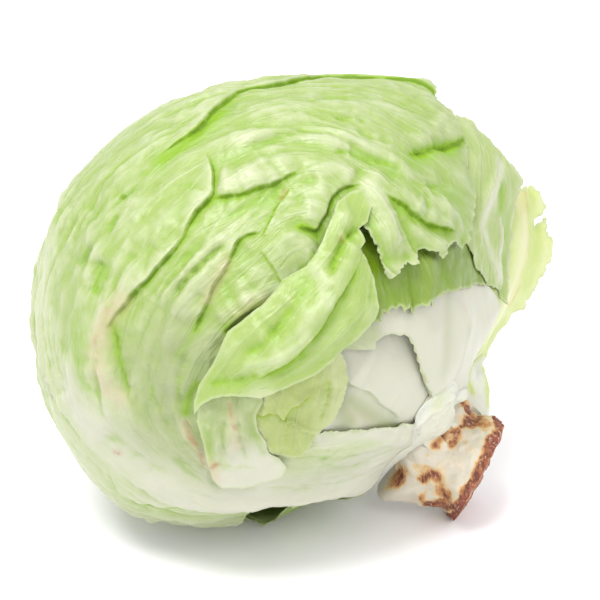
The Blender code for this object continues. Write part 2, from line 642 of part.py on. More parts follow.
def wrapper_leaf(pile):
    """The big leaf: from the stem along the ground, round the crown and over the top."""
    foot = [around(LEAF_BASE_ANGLE, lam, 0.0) for lam in (-72, -54, -36, -18, 0, 18)]
    upper_margin = [
        seen(412, 420, 0.0), seen(398, 422, 0.5), seen(376, 425, 0.8), seen(352, 428, 0.8),
        seen(324, 431, 0.8), seen(304, 440, 0.5), seen(285, 448, 0.0), seen(250, 455, -0.5),
        seen(222, 458, -0.5), seen(216, 446, -0.5), seen(210, 428, -0.5), seen(210, 404, -0.5),
        seen(218, 384, -0.5), seen(238, 356, -1.0), seen(262, 330, -1.5), seen(288, 306, -1.5),
        seen(314, 278, -1.0), seen(334, 248, -0.5), seen(345, 218, 0.0), seen(356, 200, 0.5),
    ]
    frilled_margin = [
        seen(363, 224, 2.5), seen(371, 238, 3.0), seen(377, 247, 2.5), seen(382, 262, 3.0),
        seen(387, 275, 4.0), seen(391, 278, 4.3), seen(400, 270, 3.6), seen(403, 264, 3.2),
        seen(412, 264, 3.8), seen(419, 264, 4.2), seen(416, 258, 3.6), seen(423, 247, 2.8),
        seen(437, 252, 3.0), seen(442, 258, 3.6), seen(446, 247, 2.8), seen(453, 241, 2.4),
        seen(466, 248, 3.2), seen(467, 232, 2.2), seen(474, 228, 2.4), seen(472, 204, 2.0),
        seen(470, 182, 2.0), seen(466, 152, 2.0), seen(455, 120, 2.0), seen(434, 98, 2.0),
    ]
    back_margin = [
        past(434, 84, 3), past(427, 86, 5), around(104, 124, 2.0), around(114, 133, 0.5),
        around(122, 134, 2.5), around(132, 146, 0.5), around(140, 150, 2.5), around(144, 168, 0.5),
        around(149, -176, 2.5), around(145, -158, 0.5), around(146, -140, 2.5), around(137, -126, 0.5),
        around(134, -112, 2.5), around(122, -102, 0.5), around(116, -90, 2.5), around(104, -80, 1.0),
        around(96, -68, 2.5),
    ]
    lower_margin = [
        past(128, 513, 2), past(138, 518, 2), past(151, 524, 2), past(166, 520, 1),
        past(183, 524, 1), past(200, 524, 1), past(222, 526, 1), past(236, 528, 1),
        past(243, 521, 0), seen(247, 514, 1.5), seen(258, 506, 1.0), seen(272, 502, 0.5),
        seen(286, 501, 0.5), past(300, 500, 2), past(330, 498, 4), past(356, 492, 4),
    ]
    outline = foot + upper_margin + frilled_margin + back_margin + lower_margin
    folds, ribs, places = wrapper_folds(), wrapper_ribs(), wrapper_places()
    return leaf("wrapper_leaf", pile, outline, 7.4, folds, ribs, places, middle=seen(150, 280))


def wrapper_ribs():
    spine = [(398, 458), (372, 474), (335, 487), (296, 493), (240, 495), (202, 491), (171, 483), (138, 470)]
    return [(np.array([seen(x, y) for x, y in spine]), 7.0, 3.4)]


def wrapper_places():
    """Places inside the big leaf where it stands further out or lies deeper."""
    return [
        seen(120, 180, 1.5), seen(90, 240, 1.0), seen(70, 330, 1.5), seen(95, 420, 1.5),
        seen(150, 440, 0.0), seen(180, 400, 0.0), seen(160, 340, 0.5), seen(250, 150, 1.0),
        seen(330, 110, 1.5), seen(400, 130, 1.5), seen(440, 180, 2.0), seen(300, 150, 0.5),
        seen(260, 240, -0.5), seen(200, 330, 0.0), seen(400, 240, 3.0), seen(370, 205, 3.5),
        seen(330, 470, 0.5), seen(240, 480, 0.5), around(130, 180, 1.0), around(120, -140, 1.0),
    ]


def drawn(*points):
    """A line drawn over the head through points of the photograph."""
    return np.array([seen(x, y) for x, y in points])


def wrapper_folds():
    return [
        (lap, drawn((146, 170), (158, 160), (198, 131), (223, 108), (244, 96), (274, 91), (318, 83),
                    (352, 73), (375, 77), (400, 87), (434, 98)), 9.0, 4.0),
        (lap, drawn((106, 336), (128, 301), (148, 280), (167, 257), (183, 236), (197, 212),
                    (213, 195), (214, 176), (204, 150)), 7.0, 4.5),
        (lap, drawn((210, 197), (240, 195), (262, 188), (292, 176), (302, 172)), 7.0, 4.0),
        (lap, drawn((190, 336), (200, 318), (212, 287), (222, 272), (232, 252), (240, 238),
                    (268, 230)), 7.0, 4.0),
        (lap, drawn((291, 184), (284, 196), (274, 212), (262, 240)), 6.0, 2.2),
        (lap, drawn((258, 248), (273, 268), (285, 286)), 4.0, 1.8),
        (lap, drawn((222, 334), (240, 320), (262, 304), (270, 296)), 6.0, 3.0),
        (lap, drawn((294, 222), (306, 228), (318, 229), (325, 213), (332, 197), (345, 189),
                    (360, 186)), 7.0, 3.5),
        (lap, drawn((376, 196), (384, 202), (400, 210), (412, 220), (425, 227), (450, 233)), 8.0, 4.5),
        (lap, drawn((420, 264), (407, 250), (395, 227), (386, 206)), 6.0, 2.6),
        (lap, drawn((112, 462), (124, 481), (140, 490), (165, 496), (200, 499), (235, 502), (262, 503),
                    (280, 501)), 4.0, 2.4),
        (crease, drawn((402, 160), (430, 151), (466, 145)), 3.5, -2.6),
        (crease, drawn((328, 158), (345, 155), (364, 159), (396, 172)), 3.5, -1.6),
        (crease, drawn((356, 172), (372, 195), (382, 222), (391, 262)), 5.0, 2.6),
        (crease, drawn((222, 160), (224, 182), (240, 184), (270, 172)), 6.0, 1.6),
        (crease, drawn((318, 150), (345, 140), (375, 146), (400, 162)), 6.0, 1.6),
        (crease, drawn((405, 143), (432, 140), (458, 133)), 6.0, 1.6),
        (crease, drawn((388, 190), (410, 203), (436, 218), (458, 222)), 5.0, 1.6),
        (crease, drawn((310, 184), (335, 172), (356, 182)), 5.0, 1.8),
        (crease, drawn((236, 130), (290, 114), (350, 112), (410, 118)), 8.0, 1.6),
        (crease, drawn((118, 288), (104, 318), (98, 350), (104, 386)), 5.0, 2.2),
        (crease, drawn((112, 318), (117, 346), (124, 386), (136, 410)), 4.0, -1.6),
        (crease, drawn((150, 190), (128, 236), (108, 276)), 8.0, 1.6),
        (crease, drawn((108, 190), (84, 240), (70, 300)), 6.0, -1.2),
        (crease, drawn((70, 345), (84, 400), (112, 440)), 7.0, 1.6),
        (crease, drawn((182, 320), (168, 356), (170, 396)), 6.0, 1.4),
        (crease, drawn((210, 470), (170, 462), (130, 445), (98, 420)), 8.0, -1.6),
    ]


def frilly_leaf(pile):
    """The pale frilled lobe between the torn lobe and the opening."""
    outline = [
        seen(250, 412, 1.0), seen(256, 426, 1.5), seen(264, 440, 1.5), seen(270, 453, 2.0),
        seen(281, 455, 1.2), seen(292, 459, 2.2), seen(301, 456, 1.5), seen(311, 443, 1.5),
        seen(320, 430, 1.0), seen(332, 421, 0.5), seen(338, 412, 0.0), seen(344, 398, 0.0),
        seen(348, 380, 0.0), seen(346, 362, 0.0), seen(338, 346, 0.0), seen(318, 356, 1.0),
        seen(290, 370, 1.0), seen(262, 384, 1.0), seen(246, 396, 1.0),
    ]
    folds = [
        (lap, drawn((252, 413), (268, 411), (278, 413), (284, 420), (292, 405), (312, 392)), 7.0, 2.4),
        (crease, drawn((306, 385), (312, 408), (306, 436)), 4.0, 1.2),
        (crease, drawn((328, 378), (328, 400), (318, 424)), 4.0, -1.2),
    ]
    return leaf("frilly_leaf", pile, outline, 4.8, folds, colour=PALE_GREEN)


def torn_lobe(pile):
    """The torn lobe that hangs from under the folded one, browned where it is torn."""
    outline = [
        seen(206, 398, 1.0), seen(199, 408, 1.5), seen(197, 421, 1.5), seen(200, 436, 2.0),
        seen(204, 450, 2.0), seen(208, 467, 2.5), seen(213, 480, 3.5), seen(222, 488, 4.0),
        seen(243, 489, 4.0), seen(264, 483, 3.5), seen(280, 477, 3.0), seen(287, 468, 3.0),
        seen(279, 459, 2.5), seen(269, 454, 2.5), seen(266, 443, 2.5), seen(258, 431, 2.5),
        seen(256, 416, 2.5), seen(262, 402, 2.5), seen(262, 388, 1.5), seen(236, 384, 1.5),
        seen(214, 388, 1.0),
    ]
    folds = [
        (crease, drawn((232, 402), (230, 430), (236, 465)), 4.0, 1.4),
        (crease, drawn((246, 402), (248, 430), (256, 462)), 4.0, -1.2),
        (crease, drawn((216, 405), (214, 430), (218, 462)), 4.0, -1.0),
    ]
    return leaf("torn_lobe", pile, outline, 4.8, folds, colour=PALE_GREEN)


def folded_lobe(pile):
    """The long lobe folded back over the big leaf, with its tip at the lower left."""
    outline = [
        seen(362, 190, 2.0), seen(350, 192, 2.5), seen(337, 202, 3.0), seen(332, 216, 3.0),
        seen(325, 233, 3.0), seen(316, 253, 3.0), seen(306, 266, 3.0), seen(294, 273, 3.0),
        seen(283, 279, 3.0), seen(265, 302, 3.5), seen(246, 317, 3.5), seen(228, 331, 3.5),
        seen(218, 354, 3.5), seen(210, 368, 3.5), seen(199, 385, 3.0), seen(194, 402, 3.0),
        seen(194, 415, 3.0), seen(200, 406, 4.0), seen(212, 399, 4.5), seen(232, 396, 5.5),
        seen(260, 398, 6.0), seen(295, 383, 6.5), seen(319, 372, 6.5), seen(339, 354, 6.5),
        seen(358, 337, 6.5), seen(375, 319, 6.5), seen(379, 307, 6.5), seen(378, 293, 6.0),
        seen(374, 276, 5.5), seen(368, 260, 5.0), seen(360, 249, 4.5), seen(366, 241, 4.5),
        seen(360, 228, 4.5), seen(367, 222, 4.0), seen(370, 208, 3.0),
    ]
    places = [
        seen(345, 215, 5.0), seen(330, 260, 7.0), seen(300, 300, 8.0), seen(350, 300, 9.5),
        seen(335, 335, 8.5), seen(260, 340, 7.5), seen(290, 360, 8.0), seen(235, 375, 5.5),
    ]
    folds = [
        (crease, drawn((362, 226), (347, 238), (334, 256), (320, 280)), 3.5, -2.2),
        (lap, drawn((252, 372), (262, 368), (285, 355), (303, 340), (316, 325), (327, 303), (340, 285),
                    (352, 264)), 6.0, 3.2),
        (crease, drawn((345, 205), (334, 240), (312, 275), (280, 308), (245, 345), (222, 378)), 6.0, 1.6),
        (crease, drawn((366, 285), (352, 318), (320, 350), (275, 380)), 7.0, 1.0),
    ]
    return leaf("folded_lobe", pile, outline, 5.2, folds, places=places)


def clear_scene():
    for made in list(bpy.data.objects):
        bpy.data.objects.remove(made)


def main():
    clear_scene()
    pile = Pile()
    heart(pile)
    stem(pile)
    for lay in (
        lower_back_leaf, upper_back_leaf, under_leaf, far_leaf, inner_leaf, rib_leaf, margin_leaf,
        side_leaf, wrapper_leaf, frilly_leaf, torn_lobe, folded_lobe,
    ):
        lay(pile)


if __name__ == "__main__":
    main()
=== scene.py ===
"""The looks of one head of iceberg lettuce that lies on its side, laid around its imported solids."""

import math

import bpy
import numpy as np
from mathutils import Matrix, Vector, geometry, kdtree, noise
from mathutils.bvhtree import BVHTree


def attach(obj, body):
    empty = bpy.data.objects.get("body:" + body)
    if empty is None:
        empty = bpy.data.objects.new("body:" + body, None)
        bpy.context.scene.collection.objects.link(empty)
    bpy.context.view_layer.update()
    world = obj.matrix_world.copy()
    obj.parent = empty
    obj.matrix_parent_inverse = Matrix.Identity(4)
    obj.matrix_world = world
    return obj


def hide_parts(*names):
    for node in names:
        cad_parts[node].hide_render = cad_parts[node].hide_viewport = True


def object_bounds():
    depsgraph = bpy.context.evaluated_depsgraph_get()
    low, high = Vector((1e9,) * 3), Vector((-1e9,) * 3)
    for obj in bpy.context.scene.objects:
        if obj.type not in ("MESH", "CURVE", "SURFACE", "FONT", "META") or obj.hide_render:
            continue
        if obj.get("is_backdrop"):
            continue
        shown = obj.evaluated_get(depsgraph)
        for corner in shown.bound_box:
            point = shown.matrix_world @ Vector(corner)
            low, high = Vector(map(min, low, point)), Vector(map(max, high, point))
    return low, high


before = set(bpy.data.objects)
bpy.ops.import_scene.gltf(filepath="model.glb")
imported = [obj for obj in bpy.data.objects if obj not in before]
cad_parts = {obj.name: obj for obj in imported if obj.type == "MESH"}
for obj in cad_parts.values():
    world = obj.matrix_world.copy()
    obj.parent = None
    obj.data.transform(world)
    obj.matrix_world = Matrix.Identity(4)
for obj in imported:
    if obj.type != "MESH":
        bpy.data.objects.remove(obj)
CAD_LOW, CAD_HIGH = (tuple(corner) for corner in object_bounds())

bl_info = {
    "name": "Iceberg Lettuce",
    "version": (1, 0, 0),
    "blender": (4, 5, 0),
    "location": "3D View > Sidebar > Lettuce",
    "description": "Builds the leaves, the cut stem and the stage of one iceberg lettuce",
    "category": "Object",
}

# Sizes of the head, in millimetres and degrees, as in the solids. The head stands on z = 0.
MM = 0.001
HEAD_ALONG_STEM = 149.0
HEAD_ACROSS = 167.0
HEAD_CENTRE_HEIGHT = 83.0
STEM_DIP = 40.0
LEAF_BASE_ANGLE = 12.6
REST_ROOM = 2.0
REST_SOFTNESS = 1.5
REST_FLAT_RADIUS = 15.0
MEAN_RADIUS = 83.0

# The photograph is 600 x 600 points. A point of it is laid on the head with these.
VIEW_AZIMUTH = 12.0
VIEW_HEIGHT = 26.0
VIEW_DISTANCE = 900.0
MM_PER_POINT = 0.36
PHOTO_SIDE = 600
MIDDLE_OF_VIEW = PHOTO_SIDE / 2
HEAD_CENTRE_IN_VIEW = (264.0, 293.0)
SENSOR = 36.0


class LeafSizes(bpy.types.PropertyGroup):
    blade: bpy.props.FloatProperty(
        name="Blade thickness", description="Thickness of a leaf away from its rim, in millimetres",
        default=1.05, min=0.6, max=3.0)
    fineness: bpy.props.FloatProperty(
        name="Fineness",
        description="How close together the points of a leaf lie: 1 as made, 2 twice as coarse",
        default=1.0, min=0.8, max=4.0)
    wrinkles: bpy.props.FloatProperty(
        name="Wrinkles", description="Height of the long soft wrinkles between the folds, in millimetres",
        default=1.0, min=0.0, max=3.0)
    ruffles: bpy.props.FloatProperty(
        name="Ruffles", description="Strength of the waves along the free rims",
        default=1.0, min=0.0, max=3.0)
    veins: bpy.props.FloatProperty(
        name="Vein height", description="How strongly the veins stand out of the blades",
        default=0.5, min=0.0, max=1.0, subtype="FACTOR")


def colour_property(name, description, default):
    return bpy.props.FloatVectorProperty(
        name=name, description=description, default=default, size=3, min=0, max=1, subtype="COLOR")


class LettuceColours(bpy.types.PropertyGroup):
    white: colour_property("White", "Ribs and the feet of the leaves", (0.432, 0.432, 0.343))
    pale: colour_property("Pale green", "Thin blades between white and green", (0.362, 0.404, 0.23))
    green: colour_property("Leaf green", "The body of the leaves", (0.235, 0.32, 0.0799))
    # Deep green and crease are painted shade: deeper green in valleys and hollows, dark lines in creases.
    deep: colour_property("Deep green", "Valleys and the inner side", (0.179, 0.32, 0.0188))
    crease: colour_property("Crease", "Thin lines along the creases", (0.0705, 0.132, 0.0113))
    vein: colour_property("Vein", "The pale net of veins", (0.45, 0.48, 0.35))
    # Painted shade: a dull green for places that lie in shade.
    painted_shade: colour_property("Dull green", "Thin places where the leaf is shaded through", (0.24, 0.277, 0.132))
    rust: colour_property("Rust", "Bruised spots and torn rims", (0.282, 0.132, 0.047))
    blush: colour_property("Blush", "Pinkish dried strips", (0.442, 0.329, 0.235))
    stem: colour_property("Stem white", "The flesh of the stem", (0.573, 0.517, 0.414))
    cut: colour_property("Cut face", "The browned cut of the stem", (0.235, 0.0583, 0.0301))


class StageSettings(bpy.types.PropertyGroup):
    sky: bpy.props.FloatProperty(
        name="Sky", description="Strength of the even white light", default=1.12, min=0)
    key: bpy.props.FloatProperty(
        name="Key light", description="Power of the large soft light above", default=20.0,
        min=0, subtype="POWER")
    fill: bpy.props.FloatProperty(
        name="Fill light", description="Power of the weak light on the right", default=4.5,
        min=0, subtype="POWER")
    floor: colour_property("Floor", "The plain pale floor", (0.96, 0.95, 0.98))


def unit(vectors):
    """The same vectors, each made one long."""
    vectors = np.asarray(vectors, float)
    return vectors / np.linalg.norm(vectors, axis=-1, keepdims=True)


def cos_of(degrees):
    return math.cos(math.radians(degrees))


def sin_of(degrees):
    return math.sin(math.radians(degrees))


# The head's own directions: along the stem, towards the viewer, and up across the stem.
AXIS = np.array([cos_of(STEM_DIP), 0.0, -sin_of(STEM_DIP)])
FRONT = np.array([0.0, -1.0, 0.0])
TOP = np.array([sin_of(STEM_DIP), 0.0, cos_of(STEM_DIP)])
HEAD_FRAME = np.stack([AXIS, FRONT, TOP])
CENTRE = np.array([0.0, 0.0, HEAD_CENTRE_HEIGHT])
HALF_SIZES = np.array([HEAD_ALONG_STEM, HEAD_ACROSS, HEAD_ACROSS]) / 2

# The viewer's directions, and the place of the eye.
LEVEL_BACK = np.array([sin_of(VIEW_AZIMUTH), -cos_of(VIEW_AZIMUTH), 0.0])
BACK = LEVEL_BACK * cos_of(VIEW_HEIGHT) + np.array([0.0, 0.0, sin_of(VIEW_HEIGHT)])
RIGHT = np.array([cos_of(VIEW_AZIMUTH), sin_of(VIEW_AZIMUTH), 0.0])
UP = np.cross(BACK, RIGHT)
AIM_RIGHT = (MIDDLE_OF_VIEW - HEAD_CENTRE_IN_VIEW[0]) * MM_PER_POINT
AIM_UP = (HEAD_CENTRE_IN_VIEW[1] - MIDDLE_OF_VIEW) * MM_PER_POINT
EYE = CENTRE + RIGHT * AIM_RIGHT + UP * AIM_UP + BACK * VIEW_DISTANCE


def side_of(beta, lam):
    """A direction from the head's centre: beta from the stem, lam round it from the front."""
    across = FRONT * cos_of(lam) + TOP * sin_of(lam)
    return AXIS * cos_of(beta) + across * sin_of(beta)


# Broad swellings of the head: where, how wide in degrees and how high.
SWELLINGS = (
    (side_of(140, -60), 38, 2.5),
    (side_of(92, -52), 22, 3.0),
    (side_of(132, 112), 26, -5.5),
    (side_of(86, 110), 16, 8.0),
    (side_of(47, -42), 14, -3.0),
)


# The least downward lean for which the ground under a direction is reckoned.
LEAST_DOWN = 0.05


def base_radius(d):
    """The head's size in each direction, before any leaf."""
    d = np.asarray(d)
    r = 1 / np.sqrt((((d @ HEAD_FRAME.T) / HALF_SIZES) ** 2).sum(-1))
    for where, width, height in SWELLINGS:
        angle = np.degrees(np.arccos(np.clip(d @ where, -1, 1)))
        r = r + height * np.exp(-((angle / width) ** 2))
    rest = (HEAD_CENTRE_HEIGHT - REST_ROOM) / np.maximum(-d[..., 2], LEAST_DOWN)
    least = np.minimum(r, rest)
    other = np.maximum(r, rest)
    return least - REST_SOFTNESS * np.log1p(np.exp((least - other) / REST_SOFTNESS))


def sight_line(x, y):
    """The sight line through a point of the photograph: its direction, and where it passes nearest."""
    ahead = -BACK * VIEW_DISTANCE / MM_PER_POINT
    ahead = unit(ahead + RIGHT * (x - MIDDLE_OF_VIEW) - UP * (y - MIDDLE_OF_VIEW))
    start = EYE - CENTRE
    return ahead, start - (start @ ahead) * ahead


# How far towards the viewer a sight line is followed, in millimetres, and at how many places.
SIGHT_REACH = 140
SIGHT_PLACES = 281


def seen(x, y, lift=0.0):
    """Direction and lift of a point of the photograph that lies on the head, or at its limb."""
    ahead, nearest = sight_line(x, y)
    p = nearest - np.linspace(0, SIGHT_REACH, SIGHT_PLACES)[:, None] * ahead
    size = np.linalg.norm(p, axis=1)
    outside = size - base_radius(p / size[:, None]) - lift
    hit = int(np.argmax(outside > 0))
    if hit == 0:
        return np.append(unit(p[0]), outside[0] + lift)
    share = outside[hit] / (outside[hit] - outside[hit - 1])
    return np.append(unit(p[hit] + share * (p[hit - 1] - p[hit])), lift)


def past(x, y, back):
    """The same for a point beyond the limb, the given degrees further back than the limb is."""
    ahead, nearest = sight_line(x, y)
    p = nearest + ahead * np.linalg.norm(nearest) * math.tan(math.radians(back))
    return np.append(unit(p), np.linalg.norm(p) - base_radius(unit(p)))


def standing(x, y, height):
    """The same for a point that is seen the given height above the ground."""
    ahead, nearest = sight_line(x, y)
    p = nearest + ahead * (height - HEAD_CENTRE_HEIGHT - nearest[2]) / ahead[2]
    return np.append(unit(p), np.linalg.norm(p) - base_radius(unit(p)))


def around(beta, lam, lift=0.0):
    """The same for a place on the side that the photograph doesn't show."""
    return np.append(side_of(beta, lam), lift)


FOOT_STEP = 18


def stem_arc(first, last, lift=0.0):
    """The foot of a leaf: an arc round the stem."""
    count = max(2, int(abs(last - first) / FOOT_STEP) + 1)
    return [around(LEAF_BASE_ANGLE, lam, lift) for lam in np.linspace(first, last, count)]


def drawn(*points):
    """A line drawn over the head through points of the photograph: x, y and lift of each."""
    return np.array([seen(*point) for point in points])


def beyond(*points):
    """A line through points beyond the limb: x, y and degrees behind the limb of each."""
    return np.array([past(*point) for point in points])


def stood(*points):
    """A line through points seen above the ground: x, y and height of each."""
    return np.array([standing(*point) for point in points])


def hidden(*places):
    """A line through places that the photograph doesn't show: beta, lam and lift of each."""
    return np.array([around(*place) for place in places])


def meridians(lams, betas=(14, 40, 70, 100, 130, 155)):
    """Lines from the stem to the crown, for leaves whose veins run straight up the head."""
    return [hidden(*((beta, lam) for beta in betas)) for lam in lams]


def smooth(share):
    """A soft step from 0 to 1 while the share runs from 0 to 1."""
    share = np.clip(share, 0, 1)
    return share * share * (3 - 2 * share)


def area_of(rim):
    """The area inside a flat rim, below 0 if it runs clockwise."""
    after = np.roll(rim, -1, axis=0)
    return 0.5 * (rim[:, 0] * after[:, 1] - after[:, 0] * rim[:, 1]).sum()


# How many places are worked out at a time.
BATCH = 4000


def inside(points, rim):
    """Which flat points lie inside the outline."""
    after = np.roll(rim, -1, axis=0)
    rise = after[:, 1] - rim[:, 1]
    rise = np.where(np.abs(rise) < 1e-12, 1e-12, rise)
    slope = (after[:, 0] - rim[:, 0]) / rise
    found = np.zeros(len(points), bool)
    for start in range(0, len(points), BATCH):
        x, y = points[start : start + BATCH, 0, None], points[start : start + BATCH, 1, None]
        crossing = (rim[:, 1] > y) != (after[:, 1] > y)
        reach = rim[:, 0] + (y - rim[:, 1]) * slope
        found[start : start + BATCH] = (crossing & (x < reach)).sum(axis=1) % 2 == 1
    return found


# How loosely spread values keep to the given ones.
SPREAD_EASE = 0.03


def spread(corners, values, d):
    """Values given at some directions, spread smoothly over the others."""
    between = np.linalg.norm(corners[:, None] - corners, axis=-1) - SPREAD_EASE * np.eye(len(corners))
    mean = values.mean(axis=0)
    weights = np.linalg.solve(between, values - mean)
    out = np.zeros((len(d),) + values.shape[1:])
    for start in range(0, len(d), 2 * BATCH):
        part = d[start : start + 2 * BATCH]
        out[start : start + 2 * BATCH] = mean + np.linalg.norm(part[:, None] - corners, axis=-1) @ weights
    return out


# How far apart the octaves of the noise are taken.
OCTAVE_SHIFT = 17.3


def waves(places, stretch, octaves=1):
    """Smooth noise at some places, from -1 to 1, with each coordinate divided by its stretch."""
    places = places / np.asarray(stretch, float)
    total, size = np.zeros(len(places)), 1.0
    for octave in range(octaves):
        step = places * 2.0**octave + OCTAVE_SHIFT * octave
        total += size * np.array([noise.noise(Vector(p)) for p in step.tolist()])
        size *= 0.5
    return total


# A gap wider than any on the head, which has a radius of 1 here.
FAR_OFF = 9.0


def along_line(d, line):
    """Distance from a drawn line, how far along it, and which side: positive is left of its run."""
    points = np.array(line)[:, :3]
    start, step = points[:-1], np.diff(points, axis=0)
    length = np.linalg.norm(step, axis=1)
    before = np.concatenate([[0], np.cumsum(length)])
    gap, travel, side = np.full(len(d), FAR_OFF), np.zeros(len(d)), np.ones(len(d))
    for k, (a, s, size) in enumerate(zip(start, step, length)):
        share = np.clip((d - a) @ s / size**2, 0, 1)
        near = np.linalg.norm(d - a - share[:, None] * s, axis=1)
        better = near < gap
        gap[better] = near[better]
        travel[better] = (before[k] + share[better] * size) / before[-1]
        side[better] = np.sign(d[better] @ np.cross(a, a + s))
    return gap * MEAN_RADIUS, travel, side


def rounded(line, steps=4):
    """The same line with its corners rounded."""
    line = np.asarray(line)
    padded = np.vstack([2 * line[0] - line[1], line, 2 * line[-1] - line[-2]])
    out = []
    for a, b, c, e in zip(padded, padded[1:], padded[2:], padded[3:]):
        for k in range(steps):
            t = k / steps
            out.append(0.5 * (2 * b + (c - a) * t + (2 * a - 5 * b + 4 * c - e) * t**2
                              + (3 * b - a - 3 * c + e) * t**3))
    out.append(line[-1])
    out = np.array(out)
    out[:, :3] = unit(out[:, :3])
    return out


def wavering(line, amount=1.0):
    """A fold's line with its corners rounded, wandering a little from side to side as creases do."""
    line = rounded(line)
    places = line[:, :3] * MEAN_RADIUS
    stray = 0.9 * waves(places, (9, 9, 9)) + 0.5 * waves(places + 40, (3.5, 3.5, 3.5))
    along = unit(np.gradient(line[:, :3], axis=0))
    line[:, :3] = unit(line[:, :3] + np.cross(line[:, :3], along) * (amount * stray / MEAN_RADIUS)[:, None])
    return line


# How often and how much the depth of a crease changes along its length.
CREASE_CHANGES = 9
CREASE_UNEVENNESS = 0.65


def uneven(travel, line):
    """How deep a crease is along its length."""
    place = np.column_stack([CREASE_CHANGES * travel, 0 * travel, 0 * travel + 50 * line[0][0]])
    return 1 + CREASE_UNEVENNESS * waves(place, (1, 1, 1), 2)


def ends_of(travel, share=0.22):
    """1 along a line, dying away over the given share of it at each end."""
    return smooth(travel / share) * smooth((1 - travel) / share)


def ridge(d, line, width, height):
    """A soft ridge along a drawn line, or a hollow where the height is negative."""
    gap, travel, _ = along_line(d, line)
    return height * np.exp(-((gap / width) ** 2)) * ends_of(travel)


def valley(d, line, width, height):
    """A sharp valley along a drawn line."""
    gap, travel, _ = along_line(d, line)
    return -height * np.exp(-gap / width) * ends_of(travel) * uneven(travel, line)


# The wall of a lap, in millimetres, and how high its left and how deep its right side are.
LAP_STEP = 0.5
LAP_HIGH, LAP_HIGH_REACH = 0.30, 2.4
LAP_LOW, LAP_LOW_REACH = 0.24, 1.1
LAP_EDGE, LAP_EDGE_REACH = 0.05, 1.6


def lap(d, line, width, height):
    """One fold lapping over another: high on the left of the line's run, and a drop on its right."""
    gap, travel, side = along_line(d, line)
    high = LAP_HIGH * np.exp(-((gap / (LAP_HIGH_REACH * width)) ** 1.3))
    high = high - LAP_EDGE * np.exp(-gap / LAP_EDGE_REACH)
    low = -LAP_LOW * np.exp(-gap / (LAP_LOW_REACH * width))
    share = smooth(0.5 + side * gap / (2 * LAP_STEP))
    return height * (high * share + low * (1 - share)) * ends_of(travel, 0.2) * uneven(travel, line)


# How strongly a crease is marked with painted shade: along its line, on the wall beside it and on its low
# side.
LAP_LINE_MARK, VALLEY_LINE_MARK = 0.5, 0.3
WALL_MARK = 0.3
LOW_SIDE_MARK, LOW_SIDE_REACH = 0.4, 2.8
# The height of a fold whose crease is marked in full.
FULL_MARK_HEIGHT = 3.0


def creases(d, folds):
    """How strongly each place lies in the bottom of a crease, for painted shade: 1 along its line, less on
    its low side.
    """
    total = np.zeros(len(d))
    for shape, line, _, height in folds:
        if shape is ridge:
            continue
        gap, travel, side = along_line(d, line)
        is_lap = shape is lap
        low = np.where((side > 0) & is_lap, 0.0, 1.0)
        thin = np.exp(-(((gap * side + 0.25 * is_lap) / 0.3) ** 2))
        wall = np.exp(-((gap * side + 0.3 * is_lap) ** 2))
        mark = (LAP_LINE_MARK if is_lap else VALLEY_LINE_MARK) * thin + WALL_MARK * wall
        mark = mark + LOW_SIDE_MARK * low * np.exp(-gap / LOW_SIDE_REACH)
        depth = min(abs(height) / FULL_MARK_HEIGHT, 1.0) * np.clip(uneven(3 * travel, line), 0.1, 1.25)
        total = np.maximum(total, mark * depth * ends_of(travel, 0.12))
    return total


# The points along a rim, and the least gap beside them, as a share of the spacing of the others.
RIM_SPACING = 0.62
# Rows of points beside the edge of a lap, in millimetres from it, and their spacing.
LAP_ROWS = (-0.8, -0.4, 0.0, 0.4, 0.8)
ROW_SPACING = 0.65
# Where the far side begins, which is laid with points further apart: the cosine to the viewer.
FAR_SIDE = -0.1
# Waves and teeth of a torn rim, in millimetres, and the angle from the stem at which teeth begin.
TORN_WAVES = (5.0, 5.0, 1.0)
SMALL_TORN_WAVES = (2.2, 2.2, 1.0)
TOOTH_LENGTH = 2.6
TOOTH_LEAN = 0.7
FIRST_TOOTH_ANGLE = 34
# How much of each point is drawn from its neighbours when values are eased.
EASE_SHARE = 0.6


